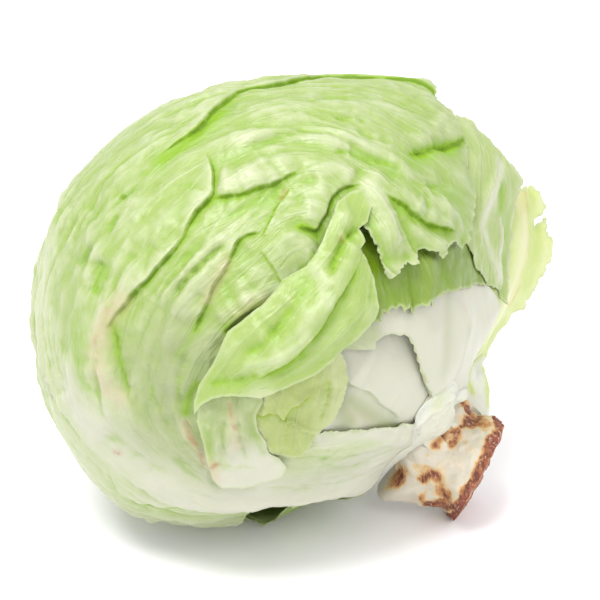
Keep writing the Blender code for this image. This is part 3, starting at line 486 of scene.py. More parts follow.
class Blade:
    """A leaf's blade laid flat: its outline, the points in it and its triangles."""

    def __init__(self, outline, spacing, seed, ragged=0.5, middle=None, edges=(), coarse=1.0, teeth=0.0):
        self.corners = np.array(outline)
        self.middle = unit(self.corners[:, :3].mean(axis=0)) if middle is None else middle[:3]
        self.east = unit(np.cross(self.middle, [0.3, 0.2, 0.93]))
        self.north = np.cross(self.middle, self.east)
        rim = self.torn_rim(RIM_SPACING * spacing, ragged, seed, teeth)
        if area_of(rim) < 0:
            rim = rim[::-1]
        flat = np.vstack([rim, self.inner_points(rim, spacing, edges, coarse)])
        border = list(range(len(rim)))
        found = geometry.delaunay_2d_cdt([Vector(p) for p in flat], [], [border], 1, 1e-5, False)
        flat, faces = np.array([tuple(p) for p in found[0]]), np.array(found[2])
        faces = faces[inside(flat[faces].mean(axis=1), rim)]
        used, renumbered = np.unique(faces, return_inverse=True)
        self.faces = renumbered.reshape(-1, 3)
        self.flat = flat[used]
        self.d = self.raised(self.flat)
        self.face_outward()
        self.measure_rim(rim)
        ends = np.vstack([self.faces[:, [0, 1]], self.faces[:, [1, 2]], self.faces[:, [2, 0]]])
        self.ends = np.unique(np.sort(ends, axis=1), axis=0)
        self.degree = np.maximum(np.bincount(self.ends.ravel(), minlength=len(self.d)), 1)

    def laid(self, d):
        """Directions to flat points: distances from the middle are kept."""
        angle = np.arccos(np.clip(d @ self.middle, -1, 1))
        east, north = d @ self.east, d @ self.north
        scale = MEAN_RADIUS * angle / np.maximum(np.hypot(east, north), 1e-9)
        return np.stack([east * scale, north * scale], axis=1)

    def raised(self, flat):
        """Flat points back to directions."""
        size = np.maximum(np.linalg.norm(flat, axis=1), 1e-9)
        angle = size / MEAN_RADIUS
        level = flat[:, :1] / size[:, None] * self.east + flat[:, 1:] / size[:, None] * self.north
        return unit(np.sin(angle)[:, None] * level + np.cos(angle)[:, None] * self.middle)

    def torn_rim(self, spacing, ragged, seed, teeth):
        """The outline with points close together, moved in and out as a torn or toothed rim is."""
        flat = self.laid(self.corners[:, :3])
        points = []
        for here, there in zip(flat, np.roll(flat, -1, axis=0)):
            count = max(1, math.ceil(np.linalg.norm(there - here) / spacing))
            points += [here + (there - here) * k / count for k in range(count)]
        rim = np.array(points)
        along = unit(np.roll(rim, -1, axis=0) - np.roll(rim, 1, axis=0))
        out = np.stack([along[:, 1], -along[:, 0]], axis=1)
        place = np.column_stack([rim, np.full(len(rim), 31.7 * seed)])
        amount = 0.7 * waves(place, TORN_WAVES, 2) + 0.5 * waves(place, SMALL_TORN_WAVES)
        travel = np.concatenate([[0], np.cumsum(np.linalg.norm(np.diff(rim, axis=0), axis=1))])
        phase = travel / TOOTH_LENGTH + 1.6 * waves(place, (8.0, 8.0, 1.0))
        bite = np.abs(phase % 1 - TOOTH_LEAN) * 1.4 * (0.5 + np.abs(waves(place, (7.0, 7.0, 1.0))))
        thin = smooth((np.degrees(np.arccos(self.raised(rim) @ AXIS)) - FIRST_TOOTH_ANGLE) / 10)
        return rim + out * (ragged * amount + teeth * thin * (0.5 - bite))[:, None]

    def inner_points(self, rim, spacing, edges, coarse):
        """Rows of points along each edge of a lap, and even fields of points between them."""
        rows = [self.beside(edge, spacing) for edge in edges]
        rows = np.vstack(rows) if rows else np.zeros((0, 2))
        rows = rows[inside(rows, rim)] if len(rows) else rows
        near = self.field(rim, spacing)
        if coarse > 1:
            near = near[self.raised(near) @ BACK > FAR_SIDE]
            far = self.field(rim, spacing * coarse)
            near = np.vstack([near, far[self.raised(far) @ BACK <= FAR_SIDE]])
        taken = tree_of(np.vstack([rim, rows]))
        gap = np.array([taken.find((x, y, 0))[2] for x, y in near.tolist()])
        near = near[gap > RIM_SPACING * spacing]
        if len(rows):
            taken = tree_of(rim)
            gap = np.array([taken.find((x, y, 0))[2] for x, y in rows.tolist()])
            rows = rows[gap > 0.5]
        return np.vstack([rows, near])

    def beside(self, edge, spacing):
        """Rows of flat points that follow the edge of a lap on both sides."""
        line = self.laid(edge[:, :3])
        length = np.concatenate([[0], np.cumsum(np.linalg.norm(np.diff(line, axis=0), axis=1))])
        at = np.arange(0.5, length[-1] - 0.5, ROW_SPACING * spacing)
        middle = np.column_stack([np.interp(at, length, line[:, k]) for k in (0, 1)])
        along = unit(np.gradient(middle, axis=0))
        out = np.column_stack([along[:, 1], -along[:, 0]])
        return np.vstack([middle + out * step for step in LAP_ROWS])

    def field(self, rim, spacing):
        """Even rows of flat points inside the outline."""
        low, high = rim.min(axis=0), rim.max(axis=0)
        rows = np.arange(int((high[1] - low[1]) / (spacing * sin_of(60))) + 1)
        columns = np.arange(int((high[0] - low[0]) / spacing) + 1)
        row, column = (grid.ravel() for grid in np.meshgrid(rows, columns))
        x = low[0] + (column + 0.5 * (row % 2)) * spacing
        field = np.column_stack([x, low[1] + row * spacing * sin_of(60)])
        return field[inside(field, rim)]

    def face_outward(self):
        """Turns the triangles round if they face the head's centre."""
        a, b, c = (self.d[self.faces[:, k]] for k in range(3))
        if (np.cross(b - a, c - a) * a).sum() < 0:
            self.faces = self.faces[:, ::-1]

    def measure_rim(self, rim):
        """How far each point is from the rim, and how far round the rim its nearest point is."""
        length = np.linalg.norm(np.roll(rim, -1, axis=0) - rim, axis=1)
        before = np.concatenate([[0], np.cumsum(length)[:-1]])
        tree = tree_of(rim)
        found = [tree.find((x, y, 0)) for x, y in self.flat.tolist()]
        self.from_rim = np.array([hit[2] for hit in found])
        self.round_rim = before[[hit[1] for hit in found]]

    def eased(self, values, times):
        """Values over the blade, each pulled towards its neighbours."""
        a, b = self.ends.T
        count = len(self.d)
        for _ in range(times):
            total = np.bincount(a, values[b], count) + np.bincount(b, values[a], count)
            values = (1 - EASE_SHARE) * values + EASE_SHARE * total / self.degree
        return values

    def calm(self, flow):
        """Less than 1 where the veins run too close together for wrinkles between them."""
        a, b = self.ends.T
        size = np.maximum(np.linalg.norm(self.flat[a] - self.flat[b], axis=1), 1e-6)
        pace = np.abs(flow[a, 1] - flow[b, 1]) / size
        most = np.zeros(len(self.d))
        np.maximum.at(most, a, pace)
        np.maximum.at(most, b, pace)
        return np.clip(1.5 / np.maximum(self.eased(most, 6), 0.1), 0, 1) ** 2

    def steepness(self, radius):
        """The cosine between each point's direction and the steepest blade beside it."""
        points = self.d * radius[:, None]
        a, b, c = (points[self.faces[:, k]] for k in range(3))
        normals = np.cross(b - a, c - a)
        normals /= np.maximum(np.linalg.norm(normals, axis=1, keepdims=True), 1e-9)
        cosine = np.ones(len(self.d))
        for k in range(3):
            np.minimum.at(cosine, self.faces[:, k], np.abs((normals * self.d[self.faces[:, k]]).sum(-1)))
        return cosine


def tree_of(rim):
    """A search tree of flat points."""
    tree = kdtree.KDTree(len(rim))
    for k, (x, y) in enumerate(rim.tolist()):
        tree.insert((x, y, 0), k)
    tree.balance()
    return tree


# A distance from the head's centre that is outside every leaf, in millimetres.
OUTSIDE = 400.0


class Pile:
    """The leaves already laid on the head, from the inside out."""

    def __init__(self):
        self.layers = []

    def add(self, points, faces):
        d = unit(points)
        middle = unit(d.mean(axis=0))
        tree = BVHTree.FromPolygons(points.tolist(), faces.tolist())
        self.layers.append((tree, middle, (d @ middle).min() - 0.02))

    def top(self, d):
        """The outermost surface in each direction, from the head's centre."""
        found = np.zeros(len(d))
        for tree, middle, widest in self.layers:
            near = np.nonzero(d @ middle > widest)[0]
            for k, way in zip(near.tolist(), d[near].tolist()):
                way = Vector(way)
                hit = tree.ray_cast(way * OUTSIDE, -way, OUTSIDE)[0]
                if hit is not None:
                    found[k] = max(found[k], hit.length)
        return found


PILE = Pile()
LEAF_GAP = 0.3
# Some kinds of mark are painted shade: deep green in valleys, dark crease lines and dull green on shaded
# places.
# A fold is its shape, line, width and height. A rib is the same without the shape.
# A mark is its kind, line, width and strength.
# Where a blade is thinner: the share at its rim, how far in that reaches, and the steepest blade reckoned.
RIM_SHARE = 0.35
RIM_REACH = 5.0
STEEPEST_BLADE = 0.55
# How much of the wrinkles the white part of a blade keeps, and over what share of the green they grow.
WHITE_WRINKLES = 0.15
WRINKLE_GROWTH = 0.8
# The degrees from the stem over which ruffles begin.
RUFFLE_START, RUFFLE_GROWTH = 16, 14
# How many times the lift over the pile and the relief are eased.
LIFT_ROUNDS = 36
BROAD_RELIEF_ROUNDS = 60
FINE_RELIEF_ROUNDS = 8


def flow_of(d, rails):
    """Places along and across the veins, in millimetres, from lines that the veins follow."""
    points, values = [], []
    across = 0.0
    for k, rail in enumerate(rails):
        rail = rounded(rail, 3)[:, :3]
        if k:
            across += MEAN_RADIUS * np.linalg.norm(rail[len(rail) // 2] - before[len(before) // 2])
        before = rail
        travel = np.concatenate([[0], np.cumsum(np.linalg.norm(np.diff(rail, axis=0), axis=1))])
        points += list(rail)
        values += [(MEAN_RADIUS * t, across) for t in travel]
    return spread(np.array(points), np.array(values), d)


def painted(d, marks, wanted):
    """How strongly each place is painted by the marks of one kind."""
    total = np.zeros(len(d))
    for kind, line, width, strength in marks:
        if kind == wanted:
            gap = along_line(d, line)[0]
            total = np.maximum(total, strength * np.exp(-((gap / width) ** 2)))
    return total


def lay_leaf(name, material, outline, rails, spacing, seed, folds=(), ribs=(), places=(), middle=None,
             ragged=0.5, ruffle=1.0, wrinkle=1.0, green=(20, 60), tint=0.0, marks=(),
             rests=False, thickness=1.0, coarse=1.0, teeth=0.0):
    """A leaf laid over the pile: folds raise both its faces, ribs thicken it, marks colour it."""
    sizes = bpy.context.scene.leaf_sizes
    folds = [(shape, wavering(line), width, height) for shape, line, width, height in folds]
    edges = [line for shape, line, _, _ in folds if shape is lap]
    blade = Blade(outline, spacing * sizes.fineness, seed, ragged, middle, edges, coarse, teeth)
    d = blade.d
    known = np.vstack([blade.corners, np.array(places)]) if len(places) else blade.corners
    outer = base_radius(d) + spread(known[:, :3], known[:, 3], d)
    for shape, line, width, height in folds:
        outer += shape(d, line, width, height)
    flow = flow_of(d, rails)
    beta = np.degrees(np.arccos(np.clip(d @ AXIS, -1, 1)))
    limp = smooth((beta - green[0]) / (WRINKLE_GROWTH * (green[1] - green[0])))
    limp = WHITE_WRINKLES + (1 - WHITE_WRINKLES) * limp
    outer += wrinkled(blade, flow, seed) * away_from(d, edges) * limp * sizes.wrinkles * wrinkle
    limp = smooth((beta - RUFFLE_START) / RUFFLE_GROWTH)
    outer += ruffled(blade, seed) * sizes.ruffles * ruffle * limp
    extra = sum((ridge(d, rounded(line), width, height) for line, width, height in ribs), np.zeros(len(d)))
    taper = RIM_SHARE + (1 - RIM_SHARE) * smooth(blade.from_rim / RIM_REACH)
    steep = np.maximum(blade.eased(blade.steepness(outer), 2), STEEPEST_BLADE)
    thick = sizes.blade * thickness * taper / steep
    inner = outer - thick
    need = np.maximum(PILE.top(d) + LEAF_GAP - inner, 0)
    lift = need
    for _ in range(LIFT_ROUNDS):
        lift = np.maximum(need, blade.eased(lift, 1))
    inner = inner + lift
    outer = inner + thick + extra
    if rests:
        outer = flat_to_rest(d, outer)
    relief = (outer - blade.eased(outer, BROAD_RELIEF_ROUNDS)) / 2.0
    relief = relief + (outer - blade.eased(outer, FINE_RELIEF_ROUNDS)) / 1.2
    whiteness = sum((ridge(d, rounded(line), 1.1 * width, 1.0) for line, width, _ in ribs), np.zeros(len(d)))
    fresh = smooth((beta - green[0]) / (green[1] - green[0])) * (1 - np.clip(0.9 * whiteness, 0, 1)) + tint
    fresh = fresh + painted(d, marks, "fresh") - painted(d, marks, "white")
    values = {
        # Relief makes valleys greener as painted shade and crests paler as a painted highlight; crease and
        # the shade marks darken creases, valleys and shaded places as painted shade.
        "fresh": np.clip(fresh, 0, 1),
        "relief": np.clip(relief, -1, 1) - painted(d, marks, "deep"),
        "crease": np.clip(creases(d, folds) + 0.8 * painted(d, marks, "crease"), 0, 1),
        "rust": painted(d, marks, "rust"),
        "blush": painted(d, marks, "blush"),
        "painted_shade": painted(d, marks, "painted_shade"),
        "rim": blade.from_rim,
        "calm": blade.calm(flow),
    }
    made = shell(name, blade, outer, inner, values, flow)
    made.data.materials.append(material)
    PILE.add(d * outer[:, None], blade.faces)
    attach(made, "root")
    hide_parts(name)
    return made


# Wrinkles: their lengths along and across the veins and through the blade, in millimetres, and heights.
VEIN_BENDS = (40, 16, 1)
BROAD_WRINKLES, BROAD_HEIGHT = (38, 13, 1), 1.7
FINE_WRINKLES, FINE_HEIGHT = (24, 5.5, 1), 0.1
BLISTERS, BLISTER_HEIGHT = (11, 11, 11), 1.2
STRENGTH_CHANGES = (28, 28, 28)


def wrinkled(blade, flow, seed):
    """Long soft wrinkles along the veins, with finer ones on them."""
    place = np.column_stack([flow, np.full(len(flow), 7.7 * seed)])
    place[:, 1] += 5 * waves(place, VEIN_BENDS)
    broad = 2 * np.abs(waves(place, BROAD_WRINKLES, 2)) - 0.6
    fine = 1 - 2 * np.abs(waves(place + 50, FINE_WRINKLES, 2))
    where = blade.d * MEAN_RADIUS + seed
    blisters = np.abs(waves(where, BLISTERS, 3))
    strength = 0.8 + 0.7 * waves(where + 2 * seed, STRENGTH_CHANGES)
    calm = blade.calm(flow)
    height = BROAD_HEIGHT * broad * (0.1 + 0.9 * calm) + FINE_HEIGHT * fine * calm + BLISTER_HEIGHT * blisters
    return height * strength


# How near the edge of a lap wrinkles are held back, in millimetres, and how much of them is left there.
EDGE_CALM_NEAR, EDGE_CALM_FAR = 0.5, 5.0
EDGE_CALM_LEFT = 0.3


def away_from(d, edges):
    """1 over most of the blade, less beside the edge of a lap, where wrinkles would make a ribbed wall."""
    nearest = np.full(len(d), 2 * EDGE_CALM_FAR)
    for edge in edges:
        nearest = np.minimum(nearest, along_line(d, edge)[0])
    share = smooth((nearest - EDGE_CALM_NEAR) / (EDGE_CALM_FAR - EDGE_CALM_NEAR))
    return EDGE_CALM_LEFT + (1 - EDGE_CALM_LEFT) * share


# Ruffles of a free rim: their lengths along it, in millimetres, how high and how far in they reach.
RUFFLE_LENGTH, SMALL_RUFFLE_LENGTH = 6.5, 3.0
RUFFLE_HEIGHT = 2.2
RUFFLE_REACH = 4.0


def ruffled(blade, seed):
    """Waves along the free rim that die away inwards."""
    turn = blade.round_rim
    place = np.column_stack([turn, 0 * turn, np.full(len(turn), 3.1 * seed)])
    wave = waves(place, (RUFFLE_LENGTH, 1, 1)) + 0.5 * waves(place + 9, (SMALL_RUFFLE_LENGTH, 1, 1))
    return RUFFLE_HEIGHT * blade.eased(wave * np.exp(-blade.from_rim / RUFFLE_REACH), 3)


# How far above the ground the leaf ends where the head rests, and how far elsewhere, along the direction.
REST_TOUCH = 0.02
REST_CLEAR = 0.1


def flat_to_rest(d, outer):
    """The underside of the leaf that the head rests on, made level where it touches the ground."""
    reach = HEAD_CENTRE_HEIGHT / np.maximum(-d[:, 2], LEAST_DOWN)
    across = np.hypot(d[:, 0], d[:, 1]) * reach
    return np.where(across < REST_FLAT_RADIUS, reach - REST_TOUCH, np.minimum(outer, reach - REST_CLEAR))


# How far apart the two faces of a blade lie in the noise of its skin.
FACES_APART = 40


def shell(name, blade, outer, inner, values, flow):
    """The closed blade: both its faces, and a wall round its rim."""
    count = len(blade.d)
    faces = blade.faces
    edges = np.vstack([faces[:, [0, 1]], faces[:, [1, 2]], faces[:, [2, 0]]])
    key = edges[:, 0] * count + edges[:, 1]
    back = edges[:, 1] * count + edges[:, 0]
    a, b = edges[~np.isin(key, back)].T
    walls = np.vstack([np.column_stack([b, a, a + count]), np.column_stack([b, a + count, b + count])])
    points = np.vstack([blade.d * outer[:, None], blade.d * inner[:, None]]) + CENTRE
    points = within_solids(points * MM)
    made = mesh_object(name, points, np.vstack([faces, faces[:, ::-1] + count, walls]))
    for key, value in values.items():
        both = np.concatenate([value, value]).astype(np.float32)
        made.data.attributes.new(key, "FLOAT", "POINT").data.foreach_set("value", both)
    place = np.column_stack([flow, np.zeros(count)])
    both = np.vstack([place, place + (0, 0, FACES_APART)]).astype(np.float32)
    made.data.attributes.new("flow", "FLOAT_VECTOR", "POINT").data.foreach_set("vector", both.ravel())
    return made


BOX_MARGIN = 0.00002


def within_solids(points):
    """Points kept inside the box of the solids."""
    return np.clip(points, np.array(CAD_LOW) + BOX_MARGIN, np.array(CAD_HIGH) - BOX_MARGIN)


SHARP_ANGLE = 62.0


def mesh_object(name, points, faces):
    """A smooth mesh through the points, put in the scene."""
    mesh = bpy.data.meshes.new(name + "_look")
    mesh.vertices.add(len(points))
    mesh.vertices.foreach_set("co", np.asarray(points, np.float32).ravel())
    mesh.loops.add(faces.size)
    mesh.loops.foreach_set("vertex_index", np.asarray(faces, np.int32).ravel())
    mesh.polygons.add(len(faces))
    mesh.polygons.foreach_set("loop_start", np.arange(0, faces.size, faces.shape[1], dtype=np.int32))
    mesh.update(calc_edges=True)
    mesh.validate()
    mesh.shade_smooth()
    mesh.set_sharp_from_angle(angle=math.radians(SHARP_ANGLE))
    made = bpy.data.objects.new(name + "_look", mesh)
    bpy.context.scene.collection.objects.link(made)
    return made


class Paint:
    """Short ways to add the nodes of a material."""

    def __init__(self, name):
        self.material = bpy.data.materials.new(name)
        self.material.use_nodes = True
        self.nodes = self.material.node_tree.nodes
        self.links = self.material.node_tree.links
        self.shader = self.nodes["Principled BSDF"]

    def plug(self, socket, value):
        if isinstance(value, bpy.types.NodeSocket):
            self.links.new(value, socket)
        elif socket.type == "RGBA":
            socket.default_value = tuple(value)[:3] + (1.0,)
        else:
            socket.default_value = value

    def attribute(self, name, output="Fac"):
        node = self.nodes.new("ShaderNodeAttribute")
        node.attribute_name = name
        return node.outputs[output]

    def math(self, kind, a, b=0.0, clamp=False):
        node = self.nodes.new("ShaderNodeMath")
        node.operation = kind
        node.use_clamp = clamp
        self.plug(node.inputs[0], a)
        self.plug(node.inputs[1], b)
        return node.outputs[0]

    def mix(self, share, a, b):
        node = self.nodes.new("ShaderNodeMix")
        node.data_type = "RGBA"
        self.plug(node.inputs["Factor"], share)
        self.plug(node.inputs[6], a)
        self.plug(node.inputs[7], b)
        return node.outputs[2]

    def scaled(self, vector, scale):
        node = self.nodes.new("ShaderNodeVectorMath")
        node.operation = "MULTIPLY"
        self.plug(node.inputs[0], vector)
        node.inputs[1].default_value = scale
        return node.outputs[0]

    def noise(self, vector, scale, detail=3.0, distortion=0.0):
        node = self.nodes.new("ShaderNodeTexNoise")
        self.plug(node.inputs["Vector"], vector)
        node.inputs["Scale"].default_value = scale
        node.inputs["Detail"].default_value = detail
        node.inputs["Distortion"].default_value = distortion
        return node.outputs["Fac"]

    def cells(self, vector, scale, randomness=1.0):
        node = self.nodes.new("ShaderNodeTexVoronoi")
        node.feature = "DISTANCE_TO_EDGE"
        self.plug(node.inputs["Vector"], vector)
        node.inputs["Scale"].default_value = scale
        node.inputs["Randomness"].default_value = randomness
        return node.outputs["Distance"]

    def between(self, value, low, high, to_low=0.0, to_high=1.0):
        node = self.nodes.new("ShaderNodeMapRange")
        node.interpolation_type = "SMOOTHSTEP"
        self.plug(node.inputs["Value"], value)
        sockets = ("From Min", "From Max", "To Min", "To Max")
        for socket, number in zip(sockets, (low, high, to_low, to_high)):
            node.inputs[socket].default_value = number
        return node.outputs["Result"]

    def nudged(self, vector, amount, scale):
        """The vector moved a little by noise, so that drawn cells aren't straight."""
        texture = self.nodes.new("ShaderNodeTexNoise")
        self.plug(texture.inputs["Vector"], vector)
        texture.inputs["Scale"].default_value = scale
        node = self.nodes.new("ShaderNodeVectorMath")
        node.operation = "MULTIPLY_ADD"
        self.links.new(texture.outputs["Color"], node.inputs[0])
        node.inputs[1].default_value = amount
        self.plug(node.inputs[2], vector)
        return node.outputs[0]

    def bump(self, height, strength, distance):
        node = self.nodes.new("ShaderNodeBump")
        node.inputs["Strength"].default_value = strength
        node.inputs["Distance"].default_value = distance
        self.links.new(height, node.inputs["Height"])
        self.links.new(node.outputs["Normal"], self.shader.inputs["Normal"])


# The grain of a skin: how often it repeats along, across and through the flow of the veins.
STREAKS = (0.05, 0.16, 0.3)
THREADS = (0.10, 0.6, 0.3)
VEINS = (0.026, 0.13, 0.05)
VEIN_NET = (0.12, 0.36, 0.1)
SHADED_LINES = (0.03, 0.17, 0.1)
# How often the same repeats in a metre, where it doesn't follow the veins.
MOTTLES = 95.0
GRAINS = 430.0
SPECKS = 420.0
# How high the veins and the roughness of the stem stand, in metres.
VEIN_RISE = 0.0011
STEM_ROUGHNESS_RISE = 0.0012


def leaf_material(name, freshness=0.0, depth=1.0, cast=(0.5, 0.5, 0.5), share=0.0):
    """A leaf's skin: white to green along the blade, pale veins and browned marks, with painted shade in
    valleys and creases and paler crests as a painted highlight.
    """
    colours = bpy.context.scene.lettuce_colours
    paint = Paint(name)
    flow = paint.attribute("flow", "Vector")
    body = paint.nodes.new("ShaderNodeTexCoord").outputs["Object"]
    relief = paint.attribute("relief")
    streaks = paint.noise(paint.scaled(flow, STREAKS), 1.0, 2.0, 0.6)
    threads = paint.noise(paint.scaled(flow, THREADS), 1.0, 1.0, 0.4)
    mottles = paint.noise(body, MOTTLES, 4.0, 0.5)
    grains = paint.noise(body, GRAINS, 3.0, 0.3)
    fresh = paint.math("ADD", paint.attribute("fresh"), freshness)
    liveliness = paint.between(fresh, 0.05, 0.6, 0.25, 1.0)
    calm = paint.attribute("calm")
    texture = paint.math("MULTIPLY", paint.math("SUBTRACT", streaks, 0.5), paint.math("MULTIPLY", calm, 0.5))
    for other, amount in ((threads, 0.08), (mottles, 0.9), (grains, 0.3)):
        centred = paint.math("SUBTRACT", other, 0.5)
        texture = paint.math("ADD", texture, paint.math("MULTIPLY", centred, amount))
    # Painted light from the relief: greener in valleys as painted shade, paler on crests as a painted
    # highlight.
    texture = paint.math("SUBTRACT", texture, paint.math("MULTIPLY", relief, 0.45))
    fresh = paint.math("ADD", fresh, paint.math("MULTIPLY", texture, liveliness))
    colour = paint.mix(paint.between(fresh, -0.1, 0.45), colours.white, colours.pale)
    colour = paint.mix(paint.between(fresh, 0.4, 1.25), colour, colours.green)
    # Painted shade: valleys mixed towards deep green.
    sunk = paint.between(relief, -0.12, -1.1, 0.0, 0.65 * depth)
    colour = paint.mix(sunk, colour, colours.deep)
    bent = paint.nudged(flow, (5.0, 2.0, 0.0), 0.09)
    veins = paint.between(paint.cells(paint.scaled(bent, VEINS), 1.0), 0.0, 0.10, 1.0, 0.0)
    net = paint.between(paint.cells(paint.scaled(bent, VEIN_NET), 1.0), 0.0, 0.16, 1.0, 0.0)
    # Painted shade: thin dark lines in the valleys between veins, mixed towards deep green below.
    lines = paint.math("SUBTRACT", paint.noise(paint.scaled(bent, SHADED_LINES), 1.0), 0.5)
    lines = paint.between(paint.math("ABSOLUTE", lines), 0.0, 0.018, 1.0, 0.0)
    lines = paint.math("MULTIPLY", lines, paint.between(mottles, 0.48, 0.66))
    veins, net, lines = (paint.math("MULTIPLY", drawn_lines, calm) for drawn_lines in (veins, net, lines))
    colour = paint.mix(paint.math("MULTIPLY", veins, 0.14), colour, colours.vein)
    colour = paint.mix(paint.math("MULTIPLY", net, 0.06), colour, colours.vein)
    colour = paint.mix(paint.math("MULTIPLY", lines, 0.2 * depth), colour, colours.deep)
    # Painted shade: dull green on the places marked as lying in shade.
    colour = paint.mix(paint.attribute("painted_shade"), colour, colours.painted_shade)
    # Painted shade in creases: deep green beside them and a dark line along them.
    crease = paint.attribute("crease")
    most = min(depth, 1.0)
    colour = paint.mix(paint.between(crease, 0.05, 0.9, 0.0, 0.66 * most), colour, colours.deep)
    colour = paint.mix(paint.between(crease, 0.55, 1.1, 0.0, 0.6 * most), colour, colours.crease)
    specks = paint.noise(body, SPECKS, 2.0)
    blush = paint.math("MULTIPLY", paint.attribute("blush"), paint.between(specks, 0.3, 0.6, 0.55, 1.0))
    colour = paint.mix(blush, colour, colours.blush)
    rust = paint.math("MULTIPLY", paint.attribute("rust"), paint.between(specks, 0.35, 0.6, 0.3, 1.0))
    colour = paint.mix(rust, colour, colours.rust)
    # A cast colour mixed over the whole skin; the margin leaf's cast is painted shade.
    colour = paint.mix(share, colour, cast)
    rim = paint.between(paint.attribute("rim"), 0.2, 1.3, 0.55, 0.0)
    colour = paint.mix(rim, colour, colours.pale)
    paint.plug(paint.shader.inputs["Base Color"], colour)
    paint.plug(paint.shader.inputs["Roughness"], paint.between(streaks, 0.2, 0.8, 0.34, 0.50))
    paint.plug(paint.shader.inputs["Specular IOR Level"], paint.between(crease, 0.05, 0.6, 0.42, 0.0))
    paint.shader.inputs["Subsurface Weight"].default_value = 0.2
    paint.shader.inputs["Subsurface Radius"].default_value = (0.9, 1.0, 0.35)
    paint.shader.inputs["Subsurface Scale"].default_value = 0.004
    height = paint.math("ADD", paint.math("MULTIPLY", veins, 0.35), paint.math("MULTIPLY", net, 0.12))
    streaks = paint.math("MULTIPLY", paint.math("SUBTRACT", streaks, 0.5), calm)
    for texture, amount in ((streaks, 0.35), (threads, 0.06), (mottles, 1.2), (grains, 0.3), (lines, -0.25)):
        height = paint.math("ADD", height, paint.math("MULTIPLY", texture, amount))
    height = paint.math("MULTIPLY", height, paint.between(fresh, 0.0, 0.5, 0.3, 1.0))
    paint.bump(height, bpy.context.scene.leaf_sizes.veins * (0.4 + 0.6 * most), VEIN_RISE)
    return paint.material


# The stem's grain, patches, fibres and strands: how often they repeat in a metre.
STEM_GRAIN = 260.0
STEM_PATCHES = 90.0
STEM_FIBRES = (700.0, 700.0, 160.0)
STEM_STRANDS = (950.0, 950.0, 190.0)
# Its colours, from the feet of the leaves to the fibres of the cut.
FOOT_FLESH = (0.53, 0.54, 0.44)
PALE_GRAIN = (0.58, 0.57, 0.49)
YELLOW_GREEN = (0.42, 0.50, 0.13)
OCHRE = (0.62, 0.46, 0.22)
RED_BROWN = (0.50, 0.25, 0.09)
DARK_BROWN = (0.27, 0.10, 0.04)
DARK_FIBRE = (0.09, 0.028, 0.018)
WORN_FIBRE = (0.58, 0.36, 0.24)


def stem_material():
    """The stem: cream flesh with ochre and red-brown where it is cut or scarred."""
    colours = bpy.context.scene.lettuce_colours
    paint = Paint("stem_skin")
    body = paint.nodes.new("ShaderNodeTexCoord").outputs["Object"]
    grain = paint.noise(body, STEM_GRAIN, 5.0, 0.6)
    patches = paint.noise(body, STEM_PATCHES, 4.0, 0.8)
    fibres = paint.noise(paint.scaled(body, STEM_FIBRES), 1.0, 3.0, 0.5)
    foot = paint.attribute("foot")
    stray = paint.between(patches, 0.3, 0.7, -0.2, 0.22)
    stray = paint.math("ADD", stray, paint.between(fibres, 0.3, 0.7, -0.1, 0.1))
    stray = paint.math("MULTIPLY", stray, paint.math("SUBTRACT", 1.0, foot))
    rust = paint.math("ADD", paint.attribute("rust"), stray)
    colour = paint.mix(foot, colours.stem, FOOT_FLESH)
    colour = paint.mix(paint.between(grain, 0.3, 0.7, 0.0, 0.3), colour, PALE_GRAIN)
    colour = paint.mix(paint.math("MULTIPLY", paint.attribute("fresh"), foot), colour, YELLOW_GREEN)
    colour = paint.mix(paint.between(rust, 0.08, 0.4, 0.0, 0.75), colour, OCHRE)
    colour = paint.mix(paint.between(rust, 0.3, 0.7), colour, RED_BROWN)
    colour = paint.mix(paint.between(rust, 0.6, 1.0), colour, DARK_BROWN)
    colour = paint.mix(paint.between(rust, 0.85, 1.2), colour, colours.cut)
    strands = paint.noise(paint.scaled(body, STEM_STRANDS), 1.0, 3.0, 0.9)
    dark = paint.between(fibres, 0.46, 0.62)
    dark = paint.math("MULTIPLY", dark, paint.between(rust, 0.55, 0.95, 0.0, 0.75))
    colour = paint.mix(dark, colour, DARK_FIBRE)
    worn = paint.between(strands, 0.54, 0.68)
    worn = paint.math("MULTIPLY", worn, paint.between(rust, 0.5, 1.0, 0.0, 0.7))
    colour = paint.mix(worn, colour, WORN_FIBRE)
    paint.plug(paint.shader.inputs["Base Color"], colour)
    paint.plug(paint.shader.inputs["Roughness"], paint.between(rust, 0.3, 0.8, 0.42, 0.72))
    paint.shader.inputs["Subsurface Weight"].default_value = 0.2
    paint.shader.inputs["Subsurface Radius"].default_value = (1.0, 0.7, 0.4)
    paint.shader.inputs["Subsurface Scale"].default_value = 0.003
    paint.bump(paint.math("ADD", grain, paint.math("MULTIPLY", patches, 0.6)), 0.6, STEM_ROUGHNESS_RISE)
    return paint.material


def heart_material():
    """The skin of the heart, white with a little pale green."""
    colours = bpy.context.scene.lettuce_colours
    paint = Paint("heart_skin")
    body = paint.nodes.new("ShaderNodeTexCoord").outputs["Object"]
    cloud = paint.noise(body, 45.0, 4.0, 0.8)
    colour = paint.mix(paint.between(cloud, 0.3, 0.7), colours.white, colours.pale)
    paint.plug(paint.shader.inputs["Base Color"], colour)
    paint.shader.inputs["Roughness"].default_value = 0.5
    paint.bump(cloud, 0.3, 0.001)
    return paint.material


class LETTUCE_OT_heart(bpy.types.Operator):
    """Gives the dense heart inside the leaves its pale skin"""

    bl_idname = "lettuce.heart"
    bl_label = "Heart"

    def execute(self, context):
        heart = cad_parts["heart"]
        heart.data.materials.clear()
        heart.data.materials.append(heart_material())
        faces = np.array([tuple(p.vertices) for p in heart.data.polygons])
        points = np.array([tuple(v.co) for v in heart.data.vertices])
        PILE.add(points / MM - CENTRE, faces)
        return {"FINISHED"}


